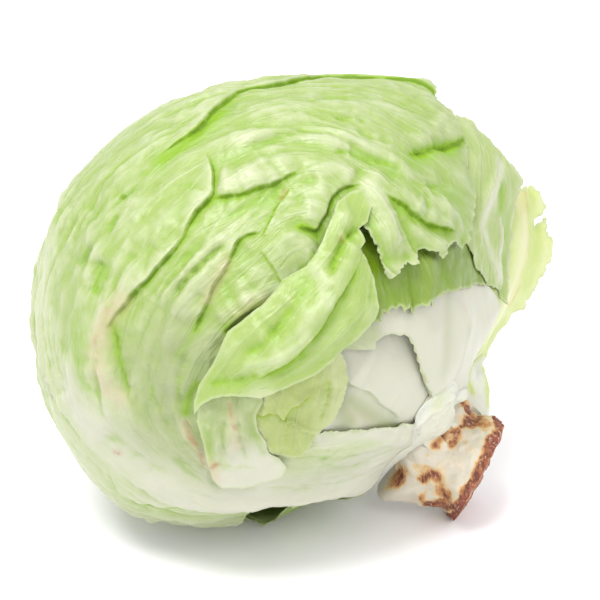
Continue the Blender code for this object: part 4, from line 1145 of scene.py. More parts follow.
STEM_CUT_DISTANCE = 102.6
STEM_CUT_SLANT = 6.0
STEM_CUT_RADIUS = 19.4
STEM_CUT_DOME = 1.8
STEM_WAIST_RADIUS = 16.4
STEM_WAIST_DISTANCE = 86.0
STEM_END_DISTANCE = 53.0
BURIED_RINGS = (STEM_END_DISTANCE, 60.0, 66.0, 70.0)
STEM_NECK_ANGLE = 10.8
TRUNK_ANGLE = 12.4
COLLAR_ANGLE = 22.0
COLLAR_GAP = 0.05
COLLAR_EDGE = 0.02
COLLAR_RISE = 3.2
# How far below the cut its brown rim reaches, in millimetres, and how softly it ends.
BROWN_RIM = 4.6
BROWN_EDGE = 2.2
# Where the waist is on the way from the collar to the cut, and how far apart the trunk's lumps are.
WAIST_SHARE = 0.4
TRUNK_LUMPS = (6, 6, 6)
SCAR_SPREAD = 1.25
# The stem's rings: degrees between their points, and how many there are of each kind.
STEM_STEP = 2.5
COLLAR_RINGS = 22
TRUNK_RINGS = 44
CUT_RINGS = 14
# Where the cut is wider or narrower than a circle: lam, width in degrees, how much.
CUT_BULGES = ((70, 45, 3.0), (-45, 45, -3.4))
# How far a degree of turn round the trunk is.
MM_PER_DEGREE = math.radians(STEM_WAIST_RADIUS)
# The stub of a torn leaf and the bulge beside it: lam, distance, width in degrees, length, height, lean.
STUBS = ((-86, 88.0, 34, 6.4, 13.5, -5.5), (-72, 95.0, 30, 6.0, 3.0, 0.0))
# Scars of old leaves: a line through points of the photograph, width, how brown, height.
SCARS = (
    (((379, 489), (383, 482), (394, 477), (408, 471)), 1.8, 0.8, 0.4),
    (((386, 485), (400, 481)), 1.7, 0.95, -0.6),
    (((410, 470), (426, 466)), 1.2, 0.45, 0.0),
    (((423, 478), (430, 475), (436, 480)), 1.9, 1.05, -1.2),
    (((430, 468), (434, 472)), 1.8, 0.5, 0.0),
    (((423, 497), (427, 504)), 1.5, 0.95, 0.3),
    (((440, 492), (444, 500), (436, 507)), 2.2, 1.05, -0.8),
    (((432, 508), (450, 506)), 1.5, 1.0, -0.3),
    (((435, 445), (439, 439), (444, 435)), 1.7, 0.95, -0.9),
    (((452, 446), (456, 438), (457, 431)), 1.3, 0.9, -0.7),
    (((444, 434), (455, 430), (466, 424), (476, 418)), 0.7, 0.8, -0.6),
    (((471, 421), (478, 417), (484, 424)), 2.2, 0.9, 0.2),
    (((461, 398), (463, 406), (470, 411)), 0.9, 1.0, 0.6),
    (((461, 397), (474, 401), (486, 410), (492, 418)), 0.9, 1.05, 1.0),
    (((466, 404), (478, 409)), 1.4, 0.5, 0.5),
    (((430, 454), (434, 462)), 1.6, 0.35, 0.0),
)
# The same on the side that isn't seen: lam, distance, width, how brown, height.
HIDDEN_SCARS = (
    (150, 84, 4.0, 0.9, -0.8),
    (178, 92, 4.5, 1.0, -0.8),
    (-150, 85, 4.0, 0.9, 1.2),
    (-122, 94, 4.0, 1.1, -0.6),
)
# Lobes of the collar where leaf feet join the stem: lam, width in degrees, how much further they reach.
FEET = (
    (40, 20, 16.0),
    (90, 16, -2.5),
    (135, 22, 3.0),
    (-170, 24, 4.0),
    (-112, 20, 3.0),
)
# Yellow-green edges of a thin leaf at the collar's right: points of the photograph, width, strength.
STRANDS = (
    (((499, 345), (482, 354), (470, 366), (467, 379), (473, 393)), 1.1, 1.0),
    (((478, 358), (486, 373), (489, 406)), 1.0, 1.0),
    (((444, 374), (442, 392), (437, 406)), 2.0, 0.35),
)
# Knobs where leaf feet end on the collar: point of the photograph, width, height.
KNOBS = (
    (445, 383, 4.5, 4.0),
    (428, 402, 4.0, 3.6),
    (441, 408, 3.4, 3.0),
    (417, 417, 3.5, 2.4),
    (452, 396, 3.5, 2.6),
    (412, 434, 4.5, 2.0),
    (463, 398, 3.0, 2.4),
    (428, 422, 3.5, 1.8),
)
KNOB_LIFT = 3.0


class LETTUCE_OT_stem(bpy.types.Operator):
    """Builds the cut stem with its collar of leaf feet, its scars and its browned cut"""

    bl_idname = "lettuce.stem"
    bl_label = "Stem"

    def execute(self, context):
        lams = np.arange(0, 360, STEM_STEP)
        across = np.outer(np.cos(np.radians(lams)), FRONT) + np.outer(np.sin(np.radians(lams)), TOP)
        reach = self.reach(lams)
        rings = [AXIS * far + across * far * math.tan(math.radians(STEM_NECK_ANGLE))
                 for far in BURIED_RINGS]
        rings += [self.on_leaves(TRUNK_ANGLE + (reach - TRUNK_ANGLE) * share, across, COLLAR_GAP)
                  for share in (0.0, 0.25, 0.5, 0.75, 1.0)]
        rusts = [np.zeros(len(lams)) for _ in rings]
        for share in np.linspace(0.0, 1.0, COLLAR_RINGS):
            rings.append(self.collar(share, across, reach))
            rusts.append(np.zeros(len(lams)))
        feet = [np.ones(len(lams)) for _ in rings]
        start = rings[-1]
        for share in np.linspace(0.02, 1, TRUNK_RINGS):
            points, rust = self.trunk(share, lams, across, start)
            rings.append(points)
            rusts.append(rust)
            feet.append(np.full(len(lams), 1 - smooth(share / 0.35)))
        rim, middle = rings[-1], rings[-1].mean(axis=0)
        for share in np.linspace(0.94, 0.05, CUT_RINGS):
            rough = waves(rim + share * 9, (4, 4, 4), 3)[:, None]
            dome = STEM_CUT_DOME * (1 - share**2) + 1.0 * rough * smooth(3 * (1 - share))
            rings.append(middle + (rim - middle) * share + AXIS * dome)
            rusts.append(1.05 + 0.5 * rough[:, 0])
            feet.append(np.zeros(len(lams)))
        made = self.joined(rings)
        strands = [np.max([strength * np.exp(-((gap_in_view(ring, line) / width) ** 2))
                           for line, width, strength in STRANDS], axis=0) for ring in rings]
        for name, values in (("rust", rusts), ("foot", feet), ("fresh", strands)):
            value = np.concatenate([values[0][:1], np.concatenate(values), values[-1][:1]]).astype(np.float32)
            made.data.attributes.new(name, "FLOAT", "POINT").data.foreach_set("value", value)
        made.data.materials.append(stem_material())
        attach(made, "root")
        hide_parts("stem")
        return {"FINISHED"}

    def joined(self, rings):
        """The closed solid through the rings, with a point at each end."""
        count = len(rings[0])
        points = np.vstack([AXIS * STEM_END_DISTANCE, np.vstack(rings), rings[-1].mean(axis=0)])
        last = len(points) - 1
        k = np.arange(count)
        after = (k + 1) % count
        faces = [np.column_stack([0 * k, 1 + after, 1 + k]),
                 np.column_stack([0 * k + last, last - count + k, last - count + after])]
        for ring in range(len(rings) - 1):
            a, b = 1 + ring * count + k, 1 + ring * count + after
            faces += [np.column_stack([a, b, b + count]), np.column_stack([a, b + count, a + count])]
        faces = np.vstack(faces)
        corners = points[faces]
        if np.einsum("nj,nj->n", corners[:, 0], np.cross(corners[:, 1], corners[:, 2])).sum() < 0:
            faces = faces[:, ::-1]
        return mesh_object("stem", within_solids((points + CENTRE) * MM), faces)

    def reach(self, lams):
        """How far from the stem's axis the collar reaches, in degrees."""
        reach = COLLAR_ANGLE + 1.2 * waves(np.column_stack([cos_sin(lams), 0 * lams]), (0.3, 0.3, 1))
        for lam, width, further in FEET:
            reach = reach + further * np.exp(-((turn_from(lams, lam) / width) ** 4))
        return reach

    def on_leaves(self, beta, across, lift, passes=3):
        """A ring of points the given height above the leaves."""
        beta = np.radians(beta)[:, None]
        d = AXIS * np.cos(beta) + across * np.sin(beta)
        top = PILE.top(d)
        for _ in range(passes):
            top = np.maximum(top, 0.5 * (np.roll(top, 1) + np.roll(top, -1)))
        return d * (top + lift)[:, None]

    def collar(self, share, across, reach):
        """One ring of the collar's outside, from its thin edge to the trunk."""
        points = self.on_leaves(reach + (TRUNK_ANGLE - reach) * share, across, 0, round(8 * share))
        d = unit(points)
        lift = COLLAR_GAP + COLLAR_EDGE + COLLAR_RISE * share**2.6
        for x, y, width, height in KNOBS:
            gap = MEAN_RADIUS * np.linalg.norm(d - seen(x, y, KNOB_LIFT)[:3], axis=1)
            lift = lift + height * np.exp(-((gap / width) ** 2)) * smooth(share / 0.3)
        lumps = waves(points, (5, 5, 5), 2) * smooth(share / 0.4)
        return points + d * (lift + 0.6 * lumps)[:, None]

    def trunk(self, share, lams, across, start):
        """One ring of the trunk, from the collar to the cut, and how brown it is."""
        start_far, start_size = start @ AXIS, (start * across).sum(axis=1)
        cut_far = STEM_CUT_DISTANCE - STEM_CUT_SLANT * np.sin(np.radians(lams))
        cut_size = STEM_CUT_RADIUS + sum(more * np.exp(-((turn_from(lams, lam) / width) ** 2))
                                         for lam, width, more in CUT_BULGES)
        low = min(share / WAIST_SHARE, 1.0)
        high = max((share - WAIST_SHARE) / (1 - WAIST_SHARE), 0.0)
        far = start_far + (STEM_WAIST_DISTANCE - start_far) * low + (cut_far - STEM_WAIST_DISTANCE) * high
        size = start_size + (STEM_WAIST_RADIUS - start_size) * smooth(low)
        size = size + (cut_size - STEM_WAIST_RADIUS) * smooth(high)
        blots = waves(AXIS * far[:, None] + across * size[:, None], TRUNK_LUMPS, 3)
        rust = 1.15 * smooth((BROWN_RIM - (cut_far - far)) / BROWN_EDGE + 0.7 * blots)
        for lam, distance, width, length, height, lean in STUBS:
            place = (turn_from(lams, lam) / width) ** 2 + ((far - distance) / length) ** 2
            size, far = size + height * np.exp(-place**1.4), far + lean * np.exp(-place**1.4)
        points = AXIS * far[:, None] + across * size[:, None]
        swell = np.zeros(len(lams))
        facing = smooth(across @ BACK / 0.3 + 1.0)
        for line, scar_width, brown, rise in SCARS:
            gap = gap_in_view(points, line) / (SCAR_SPREAD * scar_width)
            swell += rise * np.exp(-(gap**2)) * (1 + 1.5 * blots) * facing
            rust = np.maximum(rust, brown * facing * np.exp(-np.maximum(gap**2 + 1.0 * blots, 0)))
        for lam, distance, scar_width, brown, rise in HIDDEN_SCARS:
            gap = np.hypot(turn_from(lams, lam) * MM_PER_DEGREE, far - distance) / scar_width
            swell += rise * np.exp(-(gap**2)) * (1 + 1.5 * blots)
            rust = np.maximum(rust, brown * np.exp(-np.maximum(gap**2 + 1.3 * blots, 0)))
        lumps = waves(points, TRUNK_LUMPS, 3)
        shreds = np.abs(waves(points + 60, (5, 5, 2), 2)) * smooth((share - 0.75) / 0.25)
        points = points + across * (swell + (1.2 * lumps + 2.0 * shreds) * smooth(share / 0.2))[:, None]
        return points, np.clip(rust, 0, 1.3)


def turn_from(lams, lam):
    """Degrees of turn round the stem, from -180 to 180."""
    return (lams - lam + 180) % 360 - 180


def gap_in_view(points, line):
    """How far points lie, as seen in the photograph, from a line drawn in it, in millimetres."""
    offset = points + CENTRE - EYE
    size = VIEW_DISTANCE / (-(offset @ BACK) * MM_PER_POINT)
    x, y = MIDDLE_OF_VIEW + (offset @ RIGHT) * size, MIDDLE_OF_VIEW - (offset @ UP) * size
    found = np.full(len(points), 99.0)
    for (ax, ay), (bx, by) in zip(line, line[1:]):
        right, down = bx - ax, by - ay
        share = np.clip(((x - ax) * right + (y - ay) * down) / (right**2 + down**2), 0, 1)
        gap = np.hypot(x - ax - share * right, y - ay - share * down)
        found = np.minimum(found, gap * MM_PER_POINT)
    return found


def cos_sin(degrees):
    """The cosine and the sine of angles, side by side."""
    return np.column_stack([np.cos(np.radians(degrees)), np.sin(np.radians(degrees))])


class LETTUCE_OT_back_leaves(bpy.types.Operator):
    """Lays the two leaves of the far side"""

    bl_idname = "lettuce.back_leaves"
    bl_label = "Back leaves"

    def execute(self, context):
        self.lower()
        self.upper()
        return {"FINISHED"}

    def lower(self):
        outline = np.vstack([
            stem_arc(-165, -70, -2.5),
            hidden((24, -50, -3.5), (40, -32, -4.0), (58, -24, -4.0), (74, -30, -4.0), (90, -44, -3.5),
                   (106, -56, -3.0), (122, -66, -2.5), (138, -80, -2.0), (150, -98, -1.5),
                   (160, -124, -0.5), (164, -156, -0.5), (160, 172, -0.5), (146, 160, -0.5),
                   (128, 158, -0.5), (104, 164, -1.0), (78, 172, -1.5), (55, 180, -2.0), (32, -172, -2.0)),
        ])
        places = [around(beta, -128, -1.0) for beta in (30, 60, 90, 118)]
        ribs = [(hidden((14, -126), (60, -128), (105, -130)), 7.0, 2.0)]
        skin = leaf_material("lower_back_skin")
        rails = meridians((-175, -140, -105, -70, -30))
        lay_leaf("lower_back_leaf", skin, outline, rails, spacing=2.2, seed=3, ribs=ribs,
                 places=places, green=(25, 90))

    def upper(self):
        outline = np.vstack([
            stem_arc(112, 196, -1.0),
            hidden((35, -158, -1.0), (58, -154, -0.5), (80, -156, 0.5), (97, -160, 2.0), (107, -170, 0.5),
                   (122, -176, 2.0), (130, 174, 0.5), (143, 166, 2.0), (146, 150, 0.0), (150, 132, -0.5),
                   (136, 112, -1.0), (112, 104, -1.5), (88, 96, -2.0), (66, 94, -2.0), (40, 98, -1.5)),
        ])
        places = [around(beta, 152, 0.0) for beta in (30, 60, 90, 115)]
        ribs = [(hidden((14, 152), (60, 154), (110, 150)), 7.0, 2.4)]
        folds = [
            (lap, hidden((45, 178), (75, 176), (105, 166)), 16.0, 2.5),
            (ridge, hidden((50, 130), (85, 128), (115, 138)), 9.0, 2.2),
        ]
        skin = leaf_material("upper_back_skin")
        rails = meridians((95, 125, 155, 185, 210))
        lay_leaf("upper_back_leaf", skin, outline, rails, spacing=2.0, seed=4, folds=folds,
                 ribs=ribs, places=places, green=(20, 80))


class LETTUCE_OT_under_leaf(bpy.types.Operator):
    """Lays the leaf that the head rests on"""

    bl_idname = "lettuce.under_leaf"
    bl_label = "Under leaf"

    def execute(self, context):
        outline = np.vstack([
            stem_arc(-122, -78, -1.5),
            beyond((374, 488, 8), (362, 496, 8), (346, 501, 8), (334, 499, 8), (318, 496, 6), (300, 496, 4),
                   (291, 505, 4), (284, 513, 4)),
            stood((272, 521, 4.0), (262, 531, 0.8), (256, 521, 3.0)),
            beyond((240, 512, 8), (222, 508, 8), (196, 508, 8)),
            hidden((84, -72, 1.5), (92, -84, 0.0), (94, -100, 1.5), (86, -114, 0.0), (80, -126, 1.5),
                   (62, -132, -0.5), (36, -130, -1.0)),
        ])
        places = hidden((50, -90, 1.5), (42, -98, 1.5), (58, -82, 1.5), (70, -98, 1.0))
        skin = leaf_material("under_skin", freshness=0.3)
        rails = meridians((-130, -105, -80, -55), (14, 40, 70, 95))
        lay_leaf("under_leaf", skin, outline, rails, spacing=1.8, seed=5, places=places,
                 green=(15, 45), rests=True, tint=0.3, ruffle=0.3, wrinkle=0.3)
        return {"FINISHED"}


class LETTUCE_OT_right_leaves(bpy.types.Operator):
    """Lays the frilled leaf that lies furthest to the right"""

    bl_idname = "lettuce.right_leaves"
    bl_label = "Right leaves"

    def execute(self, context):
        self.far()
        return {"FINISHED"}

    def far(self):
        outline = np.vstack([
            stem_arc(86, 106, -1.0),
            beyond((482, 420, 20), (490, 410, 23), (489, 387, 22), (486, 374, 20), (482, 362, 17),
                   (488, 351, 17), (496, 342, 18), (504, 327, 18), (509, 314, 18), (521, 309, 21),
                   (524, 299, 22), (531, 299, 23), (533, 289, 23), (541, 290, 24), (537, 282, 24),
                   (540, 275, 24), (549, 277, 25), (545, 265, 24), (550, 259, 25), (558, 254, 26),
                   (548, 248, 25), (554, 242, 25), (549, 238, 24), (545, 231, 24), (551, 217, 25),
                   (543, 221, 24), (536, 229, 22), (533, 226, 21), (536, 217, 22), (542, 208, 24),
                   (546, 193, 25), (537, 194, 23), (532, 186, 22), (519, 190, 15), (505, 182, 9),
                   (495, 195, 3), (486, 230, -4), (486, 265, -5), (490, 300, -4)),
            drawn((486, 325, -2.5), (476, 348, -2.0), (467, 364, -1.5), (469, 380, -1.0), (464, 396, -1.0)),
        ])
        rib = np.vstack([beyond((519, 198, 13), (514, 250, 11), (505, 300, 8)),
                         drawn((474, 366))])
        marks = [
            ("fresh", beyond((500, 330, 14), (488, 350, 16), (482, 372, 18), (487, 400, 20)), 5.0, 1.2),
            ("fresh", np.vstack([beyond((484, 350, 8)), drawn((471, 364), (469, 380))]), 3.4, 1.3),
            ("fresh", beyond((488, 368, 16), (486, 384, 16), (488, 402, 18)), 3.0, 1.2),
            ("fresh", beyond((540, 200, 22), (546, 240, 23), (538, 275, 23)), 6.5, 1.0),
            # Painted shade: a deeper green strip.
            ("deep", beyond((532, 200, 20), (533, 240, 20), (530, 280, 20)), 3.0, 0.4),
            ("rust", beyond((526, 190, 17), (527, 212, 17)), 0.9, 0.9),
            ("rust", beyond((521, 288, 15), (517, 304, 14)), 0.9, 0.9),
            ("blush", beyond((522, 195, 14), (520, 250, 14), (514, 300, 12)), 3.4, 0.7),
        ]
        skin = leaf_material("far_skin", depth=0.6, cast=(0.66, 0.72, 0.20), share=0.35)
        rails = meridians((72, 84, 96, 110), (14, 40, 66, 90))
        lay_leaf("far_leaf", skin, outline, rails, spacing=1.0, seed=6, ribs=[(rib, 5.0, 1.8)],
                 green=(25, 50), marks=marks, ragged=0.6, wrinkle=0.6, teeth=1.6)


class LETTUCE_OT_opening_leaves(bpy.types.Operator):
    """Lays the white feet of the leaves round the opening by the stem, and the frilled rim, green of its own
    and darkened with painted shade
    """

    bl_idname = "lettuce.opening_leaves"
    bl_label = "Leaves round the opening"

    def execute(self, context):
        self.inner()
        self.rib()
        self.margin()
        return {"FINISHED"}

    def inner(self):
        outline = drawn((440, 392, -0.6), (450, 408, -0.3), (440, 426, -0.3), (412, 436, -1.0),
                        (372, 440, 0.8), (346, 446, 0.8), (324, 446, 0.4), (308, 430, -1.0),
                        (318, 392, -4.0), (322, 366, -4.0), (326, 346, -4.0), (344, 336, -4.5),
                        (364, 330, -5.5), (384, 322, -5.5), (404, 322, -5.0), (417, 334, -4.0),
                        (424, 354, -2.4), (432, 378, -1.2))
        folds = [
            (lap, drawn((338, 376), (348, 383), (370, 395), (385, 407), (402, 419)), 7.0, 2.8),
            (ridge, drawn((412, 392), (392, 372), (377, 352), (376, 340)), 5.0, 0.8),
        ]
        places = drawn((360, 365, -2.0), (385, 385, -1.6), (350, 372, -2.0), (395, 352, -4.0),
                       (404, 345, -4.0), (352, 412, -1.2), (370, 426, 0.0), (405, 400, -1.0),
                       (424, 404, -0.6))
        marks = [
            # Painted shade in the hollow under the inner leaf's lap.
            ("painted_shade", drawn((342, 400), (350, 422)), 5.0, 0.8),
            ("painted_shade", drawn((352, 404), (376, 420), (394, 428)), 4.0, 0.8),
            ("blush", drawn((352, 414), (380, 428)), 3.0, 0.15),
        ]
        skin = leaf_material("inner_skin", freshness=-0.5, depth=0.12)
        rails = meridians((-25, 0, 25, 50), (10, 20, 35, 50))
        lay_leaf("inner_leaf", skin, outline, rails, spacing=1.1, seed=7, folds=folds,
                 places=places, green=(60, 120), marks=marks, ruffle=0.1, wrinkle=0.2, thickness=0.8)

    def rib(self):
        outline = np.vstack([
            stem_arc(28, 88, 0.0),
            drawn((468, 388, 0.0), (466, 373, 0.5), (477, 351, 1.0), (491, 331, 1.5)),
            beyond((503, 307, -2), (493, 292, -4)),
            drawn((474, 277, -1.0), (455, 265, -1.5), (425, 272, -2.0), (398, 284, -2.5), (370, 296, -3.0),
                  (350, 315, -3.0), (340, 338, -2.0), (344, 350, -1.5), (360, 350, -1.0), (376, 350, -0.5),
                  (377, 342, -0.5), (384, 336, -0.2), (392, 334, 0.0), (400, 336, 0.0), (404, 334, 0.0),
                  (409, 337, 0.0), (411, 343, 0.0), (414, 345, 0.0), (414, 351, 0.0), (417, 354, 0.0),
                  (417, 361, 0.0), (420, 364, 0.0), (420, 371, 0.0), (423, 375, 0.0), (424, 382, 0.0),
                  (430, 396, 0.0)),
        ])
        rib = drawn((470, 300), (455, 340), (440, 380), (432, 402))
        edge = drawn((435, 320), (433, 350), (432, 385))
        marks = [
            ("blush", drawn((484, 290), (476, 330)), 2.0, 0.5),
            ("blush", drawn((466, 275), (462, 310)), 1.2, 0.35),
            # Painted shade: dull green where the rib leaf lies in shade.
            ("painted_shade", drawn((450, 290), (446, 330), (438, 372)), 2.6, 0.3),
            ("painted_shade", drawn((462, 330), (452, 372)), 2.6, 0.35),
            ("painted_shade", drawn((384, 296), (420, 284)), 3.0, 0.3),
            ("fresh", drawn((350, 345), (372, 336)), 4.5, 0.9),
            ("fresh", drawn((500, 308), (482, 336), (470, 360)), 2.0, 0.8),
            # Painted shade along the dark slit beside the rib leaf.
            ("deep", drawn((411, 342), (417, 360), (423, 380)), 0.9, 1.3),
            ("crease", drawn((409, 338), (414, 351), (418, 364), (424, 382)), 0.5, 1.0),
            ("rust", drawn((416, 356), (419, 366)), 0.5, 0.7),
            ("rust", drawn((422, 376), (424, 384)), 0.5, 0.9),
        ]
        skin = leaf_material("rib_skin", freshness=-0.45, depth=0.3)
        rails = meridians((20, 45, 70, 95), (12, 25, 40, 60))
        lay_leaf("rib_leaf", skin, outline, rails, spacing=1.2, seed=8,
                 ribs=[(rib, 9.0, 2.4), (edge, 4.0, 1.0)], green=(50, 110), ruffle=0.2, wrinkle=0.25,
                 marks=marks, ragged=0.25, thickness=0.8)

    def margin(self):
        outline = drawn((371, 326, 1.5), (376, 321, 1.0), (380, 322, 1.5), (384, 312, 0.5), (388, 314, 1.0),
                        (392, 307, 0.5), (397, 309, 1.0), (400, 304, 0.5), (404, 311, 1.4), (408, 305, 0.5),
                        (411, 306, 1.0), (414, 315, 1.8), (418, 305, 0.6), (423, 306, 1.0), (427, 300, 0.5),
                        (432, 307, 1.2), (434, 296, 0.5), (440, 293, 0.6), (452, 291, 0.9), (462, 288, 1.0),
                        (471, 287, 0.7), (477, 284, 0.3), (486, 288, -0.5), (486, 262, -1.5),
                        (476, 230, -2.0), (438, 222, -2.0), (408, 228, -2.5), (384, 222, -3.0),
                        (362, 230, -2.6), (356, 258, -2.8), (360, 290, -2.5), (360, 318, -1.0))
        folds = [
            (ridge, drawn((389, 290), (398, 265), (404, 240)), 4.0, 1.6),
            (ridge, drawn((418, 300), (428, 275), (432, 250)), 4.0, 1.4),
            (ridge, drawn((374, 300), (377, 270), (376, 245)), 4.0, 1.2),
        ]
        rails = [
            drawn((366, 235), (368, 275), (372, 315)),
            drawn((400, 235), (404, 270), (408, 305)),
            drawn((440, 232), (446, 262), (450, 288)),
        ]
        marks = [
            # Painted shade: the deep green, crease and dull green marks below darken the rim where it lies
            # under the flap.
            ("deep", drawn((366, 232), (372, 250), (384, 268)), 7.0, 1.6),
            ("deep", drawn((444, 276), (460, 262), (468, 276)), 5.0, 1.6),
            ("deep", drawn((366, 300), (400, 285), (440, 265), (470, 262)), 9.0, 0.8),
            ("crease", drawn((364, 236), (372, 250), (374, 262)), 4.0, 1.0),
            ("white", drawn((384, 318), (392, 296), (396, 280)), 1.0, 0.5),
            ("white", drawn((412, 308), (418, 290), (420, 276)), 1.0, 0.5),
            ("white", drawn((440, 292), (444, 272), (446, 258)), 1.0, 0.5),
            ("painted_shade", drawn((438, 262), (470, 270)), 5.0, 0.3),
        ]
        # Painted shade: the margin lies under the big leaf's flap, so its skin is cast towards a dark green.
        skin = leaf_material("margin_skin", freshness=0.4, depth=1.2, cast=(0.115, 0.185, 0.004), share=0.66)
        places = drawn((464, 262, -0.2), (474, 276, 0.2), (458, 240, -0.8))
        lay_leaf("margin_leaf", skin, outline, rails, spacing=0.9, seed=9, folds=folds,
                 places=places, green=(5, 20), tint=0.5, marks=marks, ruffle=0.8, wrinkle=0.7, teeth=0.9)


class LETTUCE_OT_side_leaf(bpy.types.Operator):
    """Lays the torn leaf that stands out at the right of the head"""

    bl_idname = "lettuce.side_leaf"
    bl_label = "Side leaf"

    def execute(self, context):
        outline = np.vstack([
            hidden((90, 97, -1.5)),
            beyond((458, 117, 0), (466, 116, 1), (474, 120, 1), (481, 130, 2), (490, 139, 3), (501, 152, 4),
                   (509, 162, 5), (520, 167, 7), (526, 178, 8), (523, 186, 8), (517, 190, 7), (518, 198, 7),
                   (513, 204, 6), (515, 214, 6), (511, 224, 6), (514, 236, 6), (509, 243, 5), (510, 252, 5),
                   (506, 262, 5), (508, 272, 5), (505, 281, 4), (509, 292, 4), (509, 304, 3),
                   (497, 299, 0)),
            drawn((486, 291, -0.3), (477, 284, -1.2), (469, 268, -2.0), (462, 245, -2.5), (458, 215, -2.0),
                  (454, 185, -2.0), (446, 155, -2.0)),
        ])
        folds = [
            (ridge, drawn((476, 180, 1), (478, 230, 1), (485, 285, 1)), 2.4, 1.2),
            (ridge, beyond((494, 184, -2), (494, 215, -2), (484, 260, -2)), 2.4, 1.2),
            (ridge, beyond((486, 190, -2), (487, 212, -2), (483, 236, -2)), 2.6, -1.6),
            (ridge, beyond((503, 200, 2), (502, 240, 2), (500, 285, 1)), 2.6, -1.2),
        ]
        marks = [
            ("white", drawn((474, 180), (477, 230), (484, 285)), 2.4, 1.3),
            ("white", beyond((494, 180, -2), (496, 205, -2), (485, 255, -2)), 1.4, 1.3),
            ("white", beyond((492, 240, -1), (491, 285, -1)), 2.4, 0.7),
            # Painted shade: crease and deep green marks in the hollows between the strands.
            ("crease", beyond((485, 194, -2), (488, 214, -2)), 1.7, 0.8),
            ("fresh", beyond((503, 200, 3), (502, 240, 2), (498, 285, 1)), 3.2, 0.8),
            ("deep", beyond((486, 193, -2), (487, 214, -2)), 2.4, 1.4),
            ("deep", beyond((505, 205, 3), (503, 240, 3), (501, 290, 2)), 2.6, 0.6),
            ("blush", beyond((517, 200, 7), (510, 240, 5), (506, 290, 4)), 0.7, 0.5),
            ("rust", beyond((519, 190, 7), (514, 204, 6)), 0.8, 0.7),
        ]
        rails = [
            drawn((465, 150), (468, 190), (470, 235), (474, 275)),
            beyond((485, 150, 2), (492, 190, 1), (490, 235, 0), (488, 280, 0)),
            beyond((505, 165, 5), (512, 195, 5), (508, 240, 5), (503, 285, 3)),
        ]
        skin = leaf_material("side_skin", freshness=0.1, cast=(0.42, 0.47, 0.22), share=0.2)
        lay_leaf("side_leaf", skin, outline, rails, spacing=1.0, seed=10, folds=folds,
                 green=(5, 20), marks=marks, ragged=0.6, ruffle=0.7, wrinkle=0.6, teeth=1.0)
        return {"FINISHED"}


